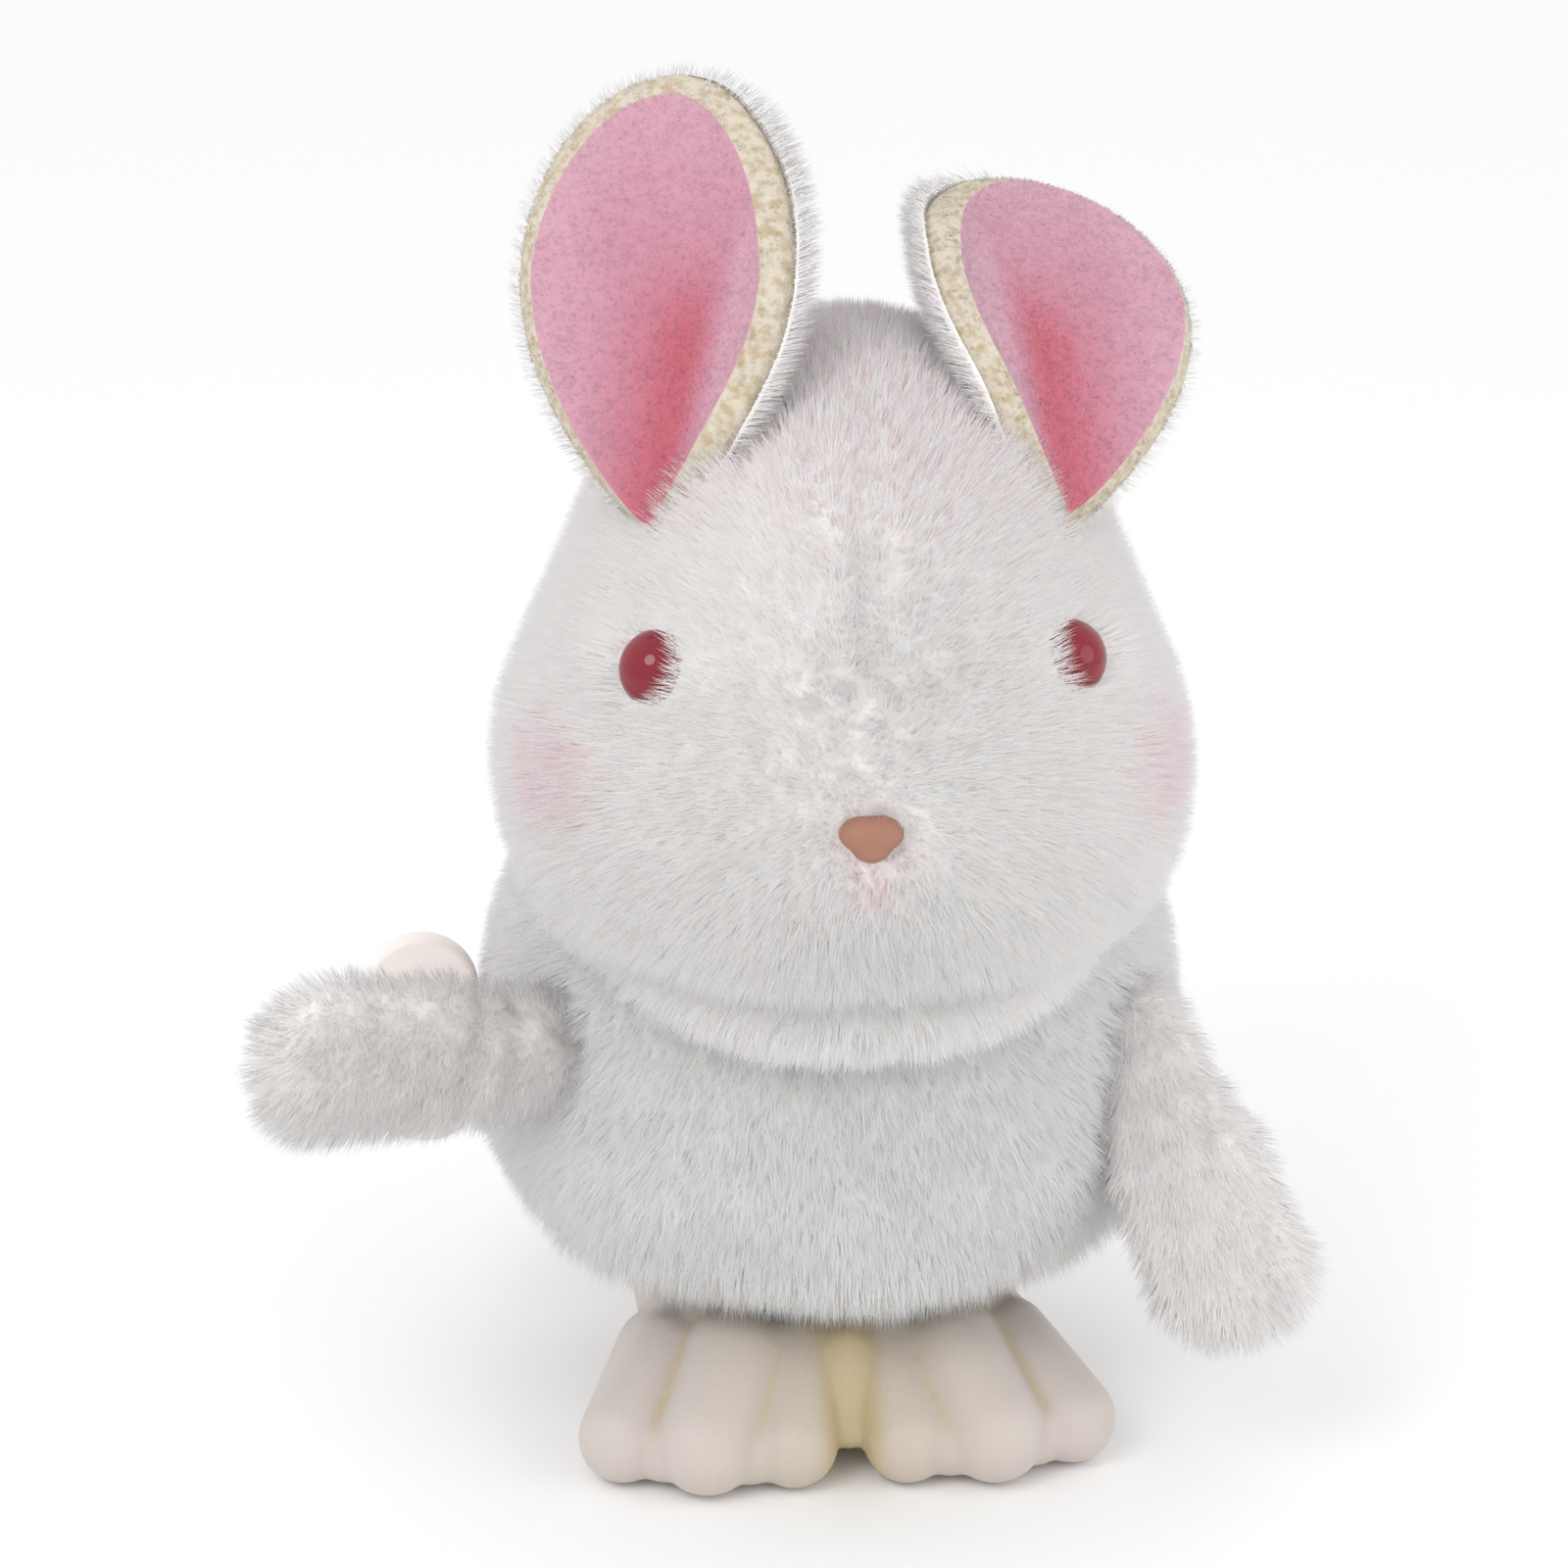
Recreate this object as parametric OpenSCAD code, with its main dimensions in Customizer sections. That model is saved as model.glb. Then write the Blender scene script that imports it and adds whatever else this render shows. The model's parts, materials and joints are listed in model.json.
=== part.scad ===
// Clockwork plush rabbit that hops on two moulded feet. Millimetres.
// +Z is up, the face looks along -Y, and the origin is on the floor under the middle of the feet.

/* [Head and body] */
// Half-width of the plush body
body_half_w = 38; // [36:1:40]
// Half-width of the plush head across the cheeks
head_half_w = 36; // [34:1:37]
// Height of the head's crown above the floor
crown_z = 125.5; // [124:0.5:128]
// Thickness of the plush cloth and its pile on the head and body
plush_t = 3; // [2.5:0.5:3.5]
// Radius of the pom-pom tail
tail_r = 8.5; // [7:0.5:10]

/* [Ears] */
// Height of one ear from its sewn tip to its top
ear_h = 46; // [42:1:50]
// Half-width of one ear, measured flat across
ear_half_w = 13.5; // [12:0.5:15]
// Radius that the ear is curled to
ear_curl_r = 18; // [17:0.5:22]
// Width of the bare cloth band round the lining
ear_band_w = 3.4; // [2.5:0.1:4.5]

/* [Face] */
// Radius of one eye
eye_r = 4; // [3.5:0.1:4.4]
// Width of the nose
nose_w = 8; // [7:0.5:9]

/* [Arms] */
// Length of one arm from its shoulder to the end of the paw
arm_len = 36; // [34:0.5:37]
// Angle of the raised arm above level, in degrees
raised_arm_deg = 12; // [8:1:14]
// Angle of the hanging arm above level, in degrees
hanging_arm_deg = -68; // [-70:1:-66]

/* [Feet] */
// Width across both feet
feet_w = 59; // [57:1:60]
// Length of the feet from heel to toes
feet_len = 50; // [48:1:52]
// Height of the instep
feet_h = 17.5; // [17:0.5:18]

/* [Winding key] */
// Height of the key's axis
key_z = 42; // [41.5:0.5:42.5]
// Radius of each of the key's two lobes
key_lobe_r = 6.1; // [5.5:0.1:6.4]
// Thickness of the key's wings
key_t = 3; // [2.5:0.5:4]

/* [Gear train] */
// Module of every gear
gear_module = 0.7; // [0.68:0.01:0.7]
// Teeth on the great wheel
great_teeth = 36; // [35:1:36]
// Teeth on the second and third wheels
wheel_teeth = 30; // [30]
// Teeth on every pinion
pinion_teeth = 12; // [12]
// Clearance all round a turning pin in its bore
running_gap = 0.05; // [0.03:0.01:0.08]
// Distance of the crank pin from the crank's axis
crank_throw = 2.2; // [2:0.1:2.3]

/* [Hidden] */

soft_fn = 22;
round_fn = 48;
slip = 0.1; // gap between one soft layer and the next

// Head and body
skull_r = [33, 35, 37.5];
skull_at = [0, -7, crown_z - skull_r.z];
cheek_r = [head_half_w, 34, 27];
cheek_at = [0, -12, 76];
muzzle_r = [17, 14, 13.5];
muzzle_at = [0, -33.5, 76.5];
chest_r = [body_half_w, 33, 30];
chest_at = [0, 3, 50];
belly_r = [body_half_w, 31, 17];
belly_at = [0, 1, 37];
bottom_r = [25, 21];
bottom_z = 20;
tail_at = [0, 35.5, 35];

// Ears: where the sewn tip enters the head, and how the ear stands
ear_tip_at = [20.5, -23.5, 107];
ear_layer_t = 0.8;
ear_back_t = 2.4;
right_ear = [20, 16, -5]; // tilt back, turn out, lean out
left_ear = [52, 24, 2];
ear_wide_at = 0.56; // where the ear is widest, as a share of its height
ear_steps = 8;

// Eyes and nose
eye_at = [20.1, -30.5, 95.5];
eye_out_deg = 46;
eye_up_deg = 9;
stem_r = 1.2;
stem_len = 7;
washer_r = 3.4;
washer_t = 1.2;
nose_at = [-0.8, -45.6, 83];

// Arms
shoulder_at = [30.5, -14.5, 48.2];
shoulder_r = 7.2;
raised_arm_turn = -28; // forwards
hanging_arm_turn = -28;
arm_top_deg = 18;
arm_low_deg = -75;
arm_room = 0.5;
arm_plush_t = 2.4;
paw_r = 9;
padding_nest_at = [34, -17, 41]; // hollow in the padding behind each arm
padding_nest_r = [13.5, 11.5, 25];

// Works: [y, z] of each axis, and the stretch of x that each piece fills
key_y = 4;
key_axis = [key_y, key_z];
great_pitch_r = gear_module * great_teeth / 2;
wheel_pitch_r = gear_module * wheel_teeth / 2;
pinion_pitch_r = gear_module * pinion_teeth / 2;
great_gap = great_pitch_r + pinion_pitch_r;
wheel_gap = wheel_pitch_r + pinion_pitch_r;
third_axis = [-11.3, 38];
second_axis = meeting(key_axis, great_gap, third_axis, wheel_gap);
crank_reach = 14.7; // from the key's axis
crank_axis = meeting(third_axis, wheel_gap, key_axis, crank_reach);
wheel_t = 1.6;
great_x = -3.4;
second_x = -0.9;
third_x = 2;
crank_x = 1.8;
web_x = 5;
web_t = 1.2;
far_web_x = 9;
lever_x = 7;
lever_t = 1.2;
arbor_r = 0.9;
key_arbor_r = 1.6;
key_pivot_r = 1.2;
pressure_deg = 25;
addendum = 0.8 * gear_module;
dedendum = 1.05 * gear_module;
backlash = 0.15;

// Casing
case_left_x = 10.4;
case_right_x = -13;
case_wall = 1.4;
case_split_x = -1.2;
case_room = 0.4;
boss_r = 2.2;
boss_inset = 0.5;
screw_r = 0.8;
screw_head_h = 1;
bosses = [[8, 59.5], [16, 27.2], [-14, 24.7]];
casing_corners = [[-10, 22.5], [12, 22.5]]; // where the casing stands on the base plate
plate_r = 18;
plate_t = 1.6;

// Feet
pin_at = [6, 15.5];
pin_r = 1;
lug_x = 10.2;
lug_t = 1.6;
toe_front_y = -28;
foot_screw_y = 8;
lever_web_z = 9;
well = [[-13.4, -1.5, lever_web_z], [13.4, 14, 30]];

function meeting(a, ra, b, rb) =
    let (d = norm(b - a), u = (b - a) / d, along = (ra * ra - rb * rb + d * d) / (2 * d),
        up = sqrt(ra * ra - along * along))
    a + along * u + up * [u.y, -u.x];
function heading(a, b) = atan2(b.y - a.y, b.x - a.x);
// Turn of a gear that puts its gap on the tooth of the gear it meshes with
function mesh_turn(turn_a, teeth_a, a, b, teeth_b) =
    let (line = heading(a, b), part = (line - turn_a) * teeth_a / 360)
    line + 180 - (0.5 - part) * 360 / teeth_b;
great_turn = 0;
second_pinion_turn = mesh_turn(great_turn, great_teeth, key_axis, second_axis, pinion_teeth);
third_pinion_turn = mesh_turn(0, wheel_teeth, second_axis, third_axis, pinion_teeth);
crank_pinion_turn = mesh_turn(0, wheel_teeth, third_axis, crank_axis, pinion_teeth);

// ---- helpers ----

// A closed rounded form; the hull keeps it one convex piece
module ellipsoid(middle, radii, grow = 0) {
    r = radii + [grow, grow, grow];
    hull() translate(middle) scale(r / r.x) sphere(r = r.x, $fn = soft_fn);
}

module head_form(grow = 0) {
    hull() {
        ellipsoid(skull_at, skull_r, grow);
        ellipsoid(cheek_at, cheek_r, grow);
        ellipsoid(muzzle_at, muzzle_r, grow);
    }
}

module body_form(grow = 0) {
    hull() {
        ellipsoid(chest_at, chest_r, grow);
        ellipsoid(belly_at, belly_r, grow);
        translate([0, 1, bottom_z - grow])
            scale([1, bottom_r.y / bottom_r.x, 1]) cylinder(r = bottom_r.x + grow, h = 1, $fn = soft_fn);
    }
}

// Draws its children, drawn flat, as a plate that stands across the X axis from x
module across(x, thick) {
    translate([x, 0, 0]) rotate([90, 0, 90]) linear_extrude(thick) children();
}

// A cylinder along X through the point at = [y, z]
module rod(at, r, from_x, to_x) {
    translate([from_x, at.x, at.y]) rotate([0, 90, 0]) cylinder(r = r, h = to_x - from_x, $fn = round_fn);
}

module at_axis(axis, turn = 0) {
    translate(axis) rotate(turn) children();
}

// ---- gears ----

function involute_deg(base_r, r) =
    let (roll = sqrt(max(0, r * r / (base_r * base_r) - 1))) roll * 180 / PI - atan(roll);

module gear_outline(teeth) {
    pitch_r = gear_module * teeth / 2;
    base_r = pitch_r * cos(pressure_deg);
    root_r = pitch_r - dedendum;
    tip_r = pitch_r + addendum;
    half_deg = 90 / teeth - backlash / 4 / pitch_r * 180 / PI;
    low_r = max(base_r, root_r);
    radii = [for (i = [0 : 3]) low_r + (tip_r - low_r) * i / 3];
    turns = [for (r = radii) half_deg + involute_deg(base_r, pitch_r) - involute_deg(base_r, r)];
    all_r = concat([root_r], radii);
    all_turns = concat([turns[0]], turns);
    last = len(all_r) - 1;
    polygon([for (tooth = [0 : teeth - 1], k = [0 : 2 * last + 1])
        let (i = k <= last ? k : 2 * last + 1 - k, side = k <= last ? -1 : 1,
            turn = tooth * 360 / teeth + side * all_turns[i])
        all_r[i] * [cos(turn), sin(turn)]]);
}

// ---- head, body and tail ----

module ear_leaf_outline(inset) {
    wide_h = ear_h * ear_wide_at;
    lower = [for (i = [0 : ear_steps - 1]) let (t = i / ear_steps)
        [(ear_half_w - inset) * pow(sin(90 * t), 0.8), inset + t * (wide_h - inset)]];
    upper = [for (i = [0 : ear_steps]) let (a = 90 * i / ear_steps)
        [(ear_half_w - inset) * cos(a), wide_h + (ear_h - wide_h - inset) * sin(a)]];
    half = concat(lower, upper);
    polygon(concat(half, [for (i = [len(half) - 2 : -1 : 1]) [-half[i].x, half[i].y]]));
}

// The leaf between two radii of the curl, standing on the sewn tip
module ear_layer(near, far, inset, hole = -1) {
    intersection() {
        translate([0, 12, 0]) rotate([90, 0, 0]) linear_extrude(12 + ear_curl_r) difference() {
            ear_leaf_outline(inset);
            if (hole >= 0) ear_leaf_outline(hole);
        }
        translate([0, -ear_curl_r, -1]) difference() {
            cylinder(r = ear_curl_r + far, h = ear_h + 2, $fn = round_fn);
            translate([0, 0, -1]) cylinder(r = ear_curl_r + near, h = ear_h + 4, $fn = round_fn);
        }
    }
}

module on_ear(side, stance) {
    translate([side * ear_tip_at.x, ear_tip_at.y, ear_tip_at.z])
        rotate([-stance[0], side * stance[2], 0]) rotate(side * stance[1]) children();
}

module ear_pockets() {
    on_ear(-1, right_ear) ear_layer(-slip, ear_layer_t + ear_back_t + slip, -slip);
    on_ear(1, left_ear) ear_layer(-slip, ear_layer_t + ear_back_t + slip, -slip);
}

module ear_back(side, stance) {
    color("white") on_ear(side, stance) ear_layer(ear_layer_t, ear_layer_t + ear_back_t, 0);
}

module ear_band(side, stance) {
    color("wheat") on_ear(side, stance) ear_layer(0, ear_layer_t, 0, ear_band_w);
}

module ear_lining(side, stance) {
    color("lightpink") on_ear(side, stance) ear_layer(0, ear_layer_t, ear_band_w);
}

// Carries its children, drawn on the Z axis, to an eye and faces them outward
module on_eye(side) {
    translate([side * eye_at.x, eye_at.y, eye_at.z])
        rotate([90 - eye_up_deg, 0, side * eye_out_deg]) children();
}

module button(ball_r, grow = 0) {
    sphere(r = ball_r + grow, $fn = round_fn);
    translate([0, 0, -stem_len]) cylinder(r = stem_r + grow, h = stem_len, $fn = round_fn);
}

module washer(grow = 0, hole = true) {
    translate([0, 0, -stem_len + 0.8]) difference() {
        translate([0, 0, -grow]) cylinder(r = washer_r + grow, h = washer_t + 2 * grow, $fn = round_fn);
        if (hole) translate([0, 0, -1]) cylinder(r = stem_r, h = washer_t + 2, $fn = round_fn);
    }
}

module nose_ball(grow = 0) {
    translate(nose_at) {
        hull() {
            for (side = [-1, 1]) translate([side * (nose_w / 2 - 1.9), 0, 0.8])
                sphere(r = 1.9 + grow, $fn = soft_fn);
            translate([0, 0, -1.6]) sphere(r = 1.6 + grow, $fn = soft_fn);
        }
        rotate([90, 0, 0]) translate([0, 0, -stem_len])
            cylinder(r = stem_r + grow, h = stem_len, $fn = round_fn);
    }
}

module face_fittings(grow) {
    for (side = [-1, 1]) on_eye(side) {
        button(eye_r, grow);
        washer(grow, false);
    }
    nose_ball(grow);
    translate(nose_at) rotate([90, 0, 0]) washer(grow, false);
}

module head_plush() {
    color("white") difference() {
        head_form();
        head_form(-plush_t);
        body_form(slip);
        ear_pockets();
        face_fittings(0.05);
    }
}

module head_stuffing() {
    color("whitesmoke") difference() {
        head_form(-plush_t - slip);
        body_form(slip);
        ear_pockets();
        face_fittings(0.05);
    }
}

// Room in the soft parts for the casing, its screw heads and the plate under it
module casing_space() {
    width = case_left_x - case_right_x + 2 * (case_wall + case_room) + screw_head_h;
    across(case_right_x - case_wall - case_room, width) offset(delta = case_room) casing_outline();
}

module plate_opening() {
    translate([0, 0, bottom_z - 1]) cylinder(r = plate_r + 0.5, h = plush_t + 2, $fn = soft_fn);
}

module body_plush() {
    color("white") difference() {
        body_form();
        body_form(-plush_t);
        plate_opening();
        casing_space();
        rod(key_axis, key_arbor_r + 1.4, -body_half_w - 5, 0);
        for (side = [-1, 1]) arm_nest(side);
    }
}

module body_padding() {
    color("whitesmoke") difference() {
        body_form(-plush_t - slip);
        plate_opening();
        casing_space();
        rod(key_axis, key_arbor_r + 1.4, -body_half_w - 5, 0);
        for (side = [-1, 1]) {
            nest_at = [side * padding_nest_at.x, padding_nest_at.y, padding_nest_at.z];
            ellipsoid(nest_at, padding_nest_r);
        }
    }
}

module tail() {
    color("white") difference() {
        ellipsoid(tail_at, [tail_r, tail_r - 1, tail_r]);
        body_form(slip);
    }
}

module eye(side) {
    color("darkred") on_eye(side) button(eye_r);
}

module eye_washer(side) {
    color("gainsboro") on_eye(side) washer();
}

module nose() {
    color("salmon") nose_ball();
}

module nose_washer() {
    color("gainsboro") translate(nose_at) rotate([90, 0, 0]) washer();
}

// ---- arms ----

// One arm along +X from its shoulder, a flat paddle with a broad paw
module arm_root(grow = 0) {
    ellipsoid([0, 0, 0], [shoulder_r, 5.6, shoulder_r], grow);
}

module arm_middle(grow = 0) {
    ellipsoid([15, 0, 0], [8.5, 5.6, 8.8], grow);
}

module arm_shape(grow = 0) {
    hull() {
        arm_root(grow);
        arm_middle(grow);
    }
    hull() {
        arm_middle(grow);
        ellipsoid([arm_len - paw_r, 0, 0.4], [paw_r, 5.4, 9.8], grow);
    }
}

// Lays an arm, drawn along +X, at its shoulder; angle swings it up about the hinge, which runs along Y
module place_arm(side, angle) {
    turn = side < 0 ? raised_arm_turn : hanging_arm_turn;
    translate([side * shoulder_at.x, shoulder_at.y, shoulder_at.z]) mirror([side < 0 ? 1 : 0, 0, 0])
        rotate([0, -angle, 0]) rotate(turn) children();
}

// Room for the arm's root over its whole swing
module arm_nest(side) {
    hull() for (angle = [arm_low_deg, (arm_low_deg + arm_top_deg) / 2, arm_top_deg]) place_arm(side, angle) {
        arm_root(arm_room);
        arm_middle(arm_room);
    }
}

module arm_plush(side, angle) {
    color("white") difference() {
        place_arm(side, angle) arm_shape();
        place_arm(side, angle) arm_shape(-arm_plush_t);
        place_arm(side, angle) translate([-shoulder_r - 1, 0, 0]) rotate([0, 90, 0])
            cylinder(r = 2.5, h = 6, $fn = soft_fn);
    }
}

module arm_filling(side, angle) {
    color("whitesmoke") place_arm(side, angle) arm_shape(-arm_plush_t - slip);
}

// ---- casing ----

module casing_outline() {
    hull() {
        translate(key_axis) circle(r = great_pitch_r + 1.6 + case_wall, $fn = round_fn);
        translate(second_axis) circle(r = wheel_pitch_r + 1 + case_wall, $fn = round_fn);
        translate(third_axis) circle(r = wheel_pitch_r + 1 + case_wall, $fn = round_fn);
        for (corner = concat(bosses, casing_corners)) translate(corner)
            circle(r = boss_r + boss_inset, $fn = soft_fn);
    }
}

module above_plate() {
    intersection() {
        casing_outline();
        translate([-60, bottom_z + plate_t]) square(120);
    }
}

// Half of the casing: a wall across X, the rim round it, its bosses and its bearings
module casing_half(wall_x, rim_from, rim_to, key_bore_r) {
    difference() {
        union() {
            across(wall_x, case_wall) above_plate();
            across(rim_from, rim_to - rim_from) difference() {
                above_plate();
                offset(delta = -case_wall) above_plate();
            }
            for (boss = bosses) rod(boss, boss_r, rim_from, rim_to);
        }
        for (boss = bosses) rod(boss, screw_r, -40, 40);
        rod(key_axis, key_bore_r + running_gap, -40, 40);
        for (axis = [second_axis, third_axis, crank_axis]) rod(axis, arbor_r + running_gap, -40, 40);
        lever_slot();
    }
}

module lever_slot() {
    translate([lever_x - 0.8, -10, bottom_z - 10]) cube([lever_t + 1.6, 22, 10 + plate_t + case_wall + 0.4]);
}

module casing_left() {
    color("lightsteelblue") casing_half(case_left_x, case_split_x, case_left_x + case_wall / 2, key_pivot_r);
}

module casing_right() {
    color("lightsteelblue") union() {
        casing_half(case_right_x - case_wall, case_right_x - case_wall / 2, case_split_x, key_arbor_r);
        rod([key_y + 12.2, key_z], 0.9, case_right_x, case_right_x + 6);
    }
}

module casing_screws() {
    color("silver") for (boss = bosses) {
        rod(boss, screw_r, case_right_x, case_left_x + case_wall);
        rod(boss, 1.7, case_left_x + case_wall, case_left_x + case_wall + screw_head_h);
    }
}

module base_plate() {
    color("gainsboro") difference() {
        union() {
            translate([0, 0, bottom_z]) cylinder(r = plate_r, h = plate_t, $fn = round_fn);
            for (x = [lug_x, -lug_x - lug_t]) {
                rod(pin_at, 2.6, x, x + lug_t);
                translate([x, pin_at.x - 2.6, pin_at.y]) cube([lug_t, 5.2, bottom_z - pin_at.y + 0.5]);
            }
        }
        rod(pin_at, pin_r, -40, 40);
        lever_slot();
    }
}

module mainspring() {
    turns = 5;
    steps = 16 * turns;
    inner_r = 3;
    pitch = 1.62;
    band = 0.35;
    spiral = function (i, r) (r + pitch * i / 16) * [cos(i * 22.5), sin(i * 22.5)];
    color("slategray") across(case_right_x + 0.7, 5.6) translate(key_axis)
        polygon(concat([for (i = [0 : steps]) spiral(i, inner_r)],
            [for (i = [steps : -1 : 0]) spiral(i, inner_r + band)]));
}

// ---- key and gear train ----

module key() {
    wing_x = -45;
    color("mistyrose") difference() {
        union() {
            for (side = [-1, 1]) translate([wing_x, key_y + key_t / 2, key_z + side * key_lobe_r])
                rotate([90, 0, 0]) cylinder(r = key_lobe_r, h = key_t, $fn = round_fn);
            translate([wing_x - 3, key_y - key_t / 2, key_z - 5]) cube([6, key_t, 10]);
            rod(key_axis, 3.1, wing_x - 3, -39.2);
        }
        rod(key_axis, key_arbor_r, wing_x, -30);
    }
}

module key_arbor() {
    color("silver") union() {
        rod(key_axis, key_arbor_r, -45, 1.2);
        rod(key_axis, key_pivot_r, 1.2, case_left_x + case_wall);
    }
}

module ratchet_wheel() {
    teeth = 12;
    color("goldenrod") across(great_x - 1.8, 1.2) at_axis(key_axis) difference() {
        polygon([for (i = [0 : teeth - 1], k = [0, 1])
            (k == 0 ? 4.6 : 3.6) * [cos((i + k * 0.08) * 360 / teeth), sin((i + k * 0.08) * 360 / teeth)]]);
        circle(r = key_arbor_r, $fn = round_fn);
    }
}

module great_wheel() {
    color("gold") across(great_x, wheel_t) at_axis(key_axis, great_turn) difference() {
        gear_outline(great_teeth);
        circle(r = key_arbor_r + running_gap, $fn = round_fn);
    }
}

click_pivot = [key_y - 2.5, key_z + 8.4];

module click() {
    color("goldenrod") union() {
        across(great_x - 1.8, 1.2) union() {
            translate(click_pivot) circle(r = 1.3, $fn = round_fn);
            polygon([click_pivot + [-1.2, -0.4], click_pivot + [1, 0.8], [key_y + 0.9, key_z + 5.2],
                [key_y + 0.3, key_z + 4.9]]);
        }
        rod(click_pivot, 0.6, great_x - 2.3, great_x - 1.8);
        rod(click_pivot, 0.6, great_x - 0.6, great_x);
    }
}

module click_spring() {
    color("slategray") across(great_x - 1.4, 0.7) difference() {
        translate(key_axis) circle(r = 10.5, $fn = round_fn);
        translate(key_axis) circle(r = 10.2, $fn = round_fn);
        translate([key_y - 20, key_z - 20]) square([40, 24]);
        translate([key_y + 6, key_z]) square(20);
    }
}

module wheel_and_pinion(axis, wheel_x, pinion_x, pinion_len, pinion_turn) {
    across(wheel_x, 1.4) at_axis(axis) gear_outline(wheel_teeth);
    across(pinion_x, pinion_len) at_axis(axis, pinion_turn) gear_outline(pinion_teeth);
    rod(axis, arbor_r, case_right_x - 0.9, case_left_x + 0.9);
    rod(axis, 1.8, min(wheel_x, pinion_x), max(wheel_x, pinion_x) + 1);
}

module second_wheel() {
    color("gold") wheel_and_pinion(second_axis, second_x, -3.8, 2.4, second_pinion_turn);
}

module third_wheel() {
    color("gold") wheel_and_pinion(third_axis, third_x, -1.2, 2.4, third_pinion_turn);
}

module crank() {
    crank_pin = crank_axis + [0, crank_throw];
    color("goldenrod") union() {
        across(crank_x, 2) at_axis(crank_axis, crank_pinion_turn) gear_outline(pinion_teeth);
        rod(crank_axis, arbor_r, case_right_x - 0.9, web_x + web_t);
        rod(crank_axis, arbor_r, far_web_x, case_left_x + 0.9);
        rod(crank_axis, 3.5, web_x, web_x + web_t);
        rod(crank_axis, 3.5, far_web_x, far_web_x + 1);
        rod(crank_pin, 0.75, web_x, far_web_x + 1);
    }
}

// ---- feet ----

module toe(x, r, front_y, top_z) {
    hull() {
        translate([x, front_y + 14, top_z - r]) sphere(r = r, $fn = soft_fn);
        translate([x, front_y + r, r - 0.6]) sphere(r = r, $fn = soft_fn);
        translate([x * 0.8, -2, r - 0.6]) sphere(r = r, $fn = soft_fn);
    }
}

module foot(side) {
    inner = 6.3;
    middle = 16;
    outer = feet_w / 2 - 4.7;
    toe(side * inner, 4.9, toe_front_y + 1.2, feet_h - 1.8);
    toe(side * middle, 5.9, toe_front_y, feet_h - 0.6);
    toe(side * outer, 4.7, toe_front_y + 4.5, feet_h - 3);
    hull() {
        translate([side * 12.5, -8, feet_h - 9]) sphere(r = 9, $fn = soft_fn);
        translate([side * 12, 4, feet_h - 9.5]) sphere(r = 9.5, $fn = soft_fn);
        translate([side * 13, feet_len + toe_front_y - 9, 6]) sphere(r = 9, $fn = soft_fn);
    }
}

module feet() {
    color("antiquewhite") difference() {
        union() {
            for (side = [-1, 1]) foot(side);
            hull() {
                translate([0, -7, 6]) sphere(r = 7, $fn = soft_fn);
                translate([0, feet_len + toe_front_y - 9, 6]) sphere(r = 7, $fn = soft_fn);
            }
        }
        translate([-100, -100, -50]) cube([200, 200, 50]);
        translate(well[0]) cube(well[1] - well[0]);
        for (side = [-1, 1]) translate([side * 4, foot_screw_y, 3])
            cylinder(r = screw_r + 0.05, h = 30, $fn = soft_fn);
    }
}

lever_window_at = crank_axis + [1.55, 0.8];
lever_window = [9.9, 8.4];
lever_rim = 1.7;
lever_eye_r = 2.7;
ear_x = [lever_x, -lever_x - lever_t];

module foot_lever() {
    frame = lever_window + 2 * [lever_rim, lever_rim];
    neck_w = 4.4;
    color("silver") difference() {
        union() {
            across(lever_x, lever_t) difference() {
                union() {
                    translate(lever_window_at - frame / 2) square(frame);
                    polygon([pin_at - [neck_w / 2, 0], pin_at + [neck_w / 2, 0],
                        [lever_window_at.x + 3, lever_window_at.y - frame.y / 2 + 0.5],
                        [lever_window_at.x - 3, lever_window_at.y - frame.y / 2 + 0.5]]);
                }
                translate(lever_window_at - lever_window / 2) square(lever_window);
            }
            for (x = ear_x) {
                rod(pin_at, lever_eye_r, x, x + lever_t);
                translate([x, pin_at.x - lever_eye_r, lever_web_z])
                    cube([lever_t, 2 * lever_eye_r, pin_at.y - lever_web_z]);
            }
            translate([-lever_x - lever_t, pin_at.x - lever_eye_r, lever_web_z])
                cube([2 * (lever_x + lever_t), 2 * lever_eye_r + 1.5, lever_t]);
        }
        rod(pin_at, pin_r + running_gap, -40, 40);
        for (side = [-1, 1]) translate([side * 4, foot_screw_y, 3])
            cylinder(r = screw_r, h = 30, $fn = round_fn);
    }
}

module foot_screws() {
    color("silver") for (side = [-1, 1]) translate([side * 4, foot_screw_y, 3]) {
        cylinder(r = screw_r, h = lever_web_z + lever_t - 3, $fn = round_fn);
        translate([0, 0, lever_web_z + lever_t - 3]) cylinder(r = 1.5, h = 0.9, $fn = round_fn);
    }
}

module foot_pin() {
    color("silver") rod(pin_at, pin_r, -lug_x - lug_t - 0.6, lug_x + lug_t + 0.6);
}

// Leaf under the base plate whose free end bears on the back of the feet
module foot_spring() {
    leaf = 0.4;
    color("slategray") across(-2.5, 5) polygon([[9.5, bottom_z - leaf], [9.5, bottom_z], [15.2, bottom_z],
        [20, 15.6], [19.7, 15.2], [15, bottom_z - leaf]]);
}

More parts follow.
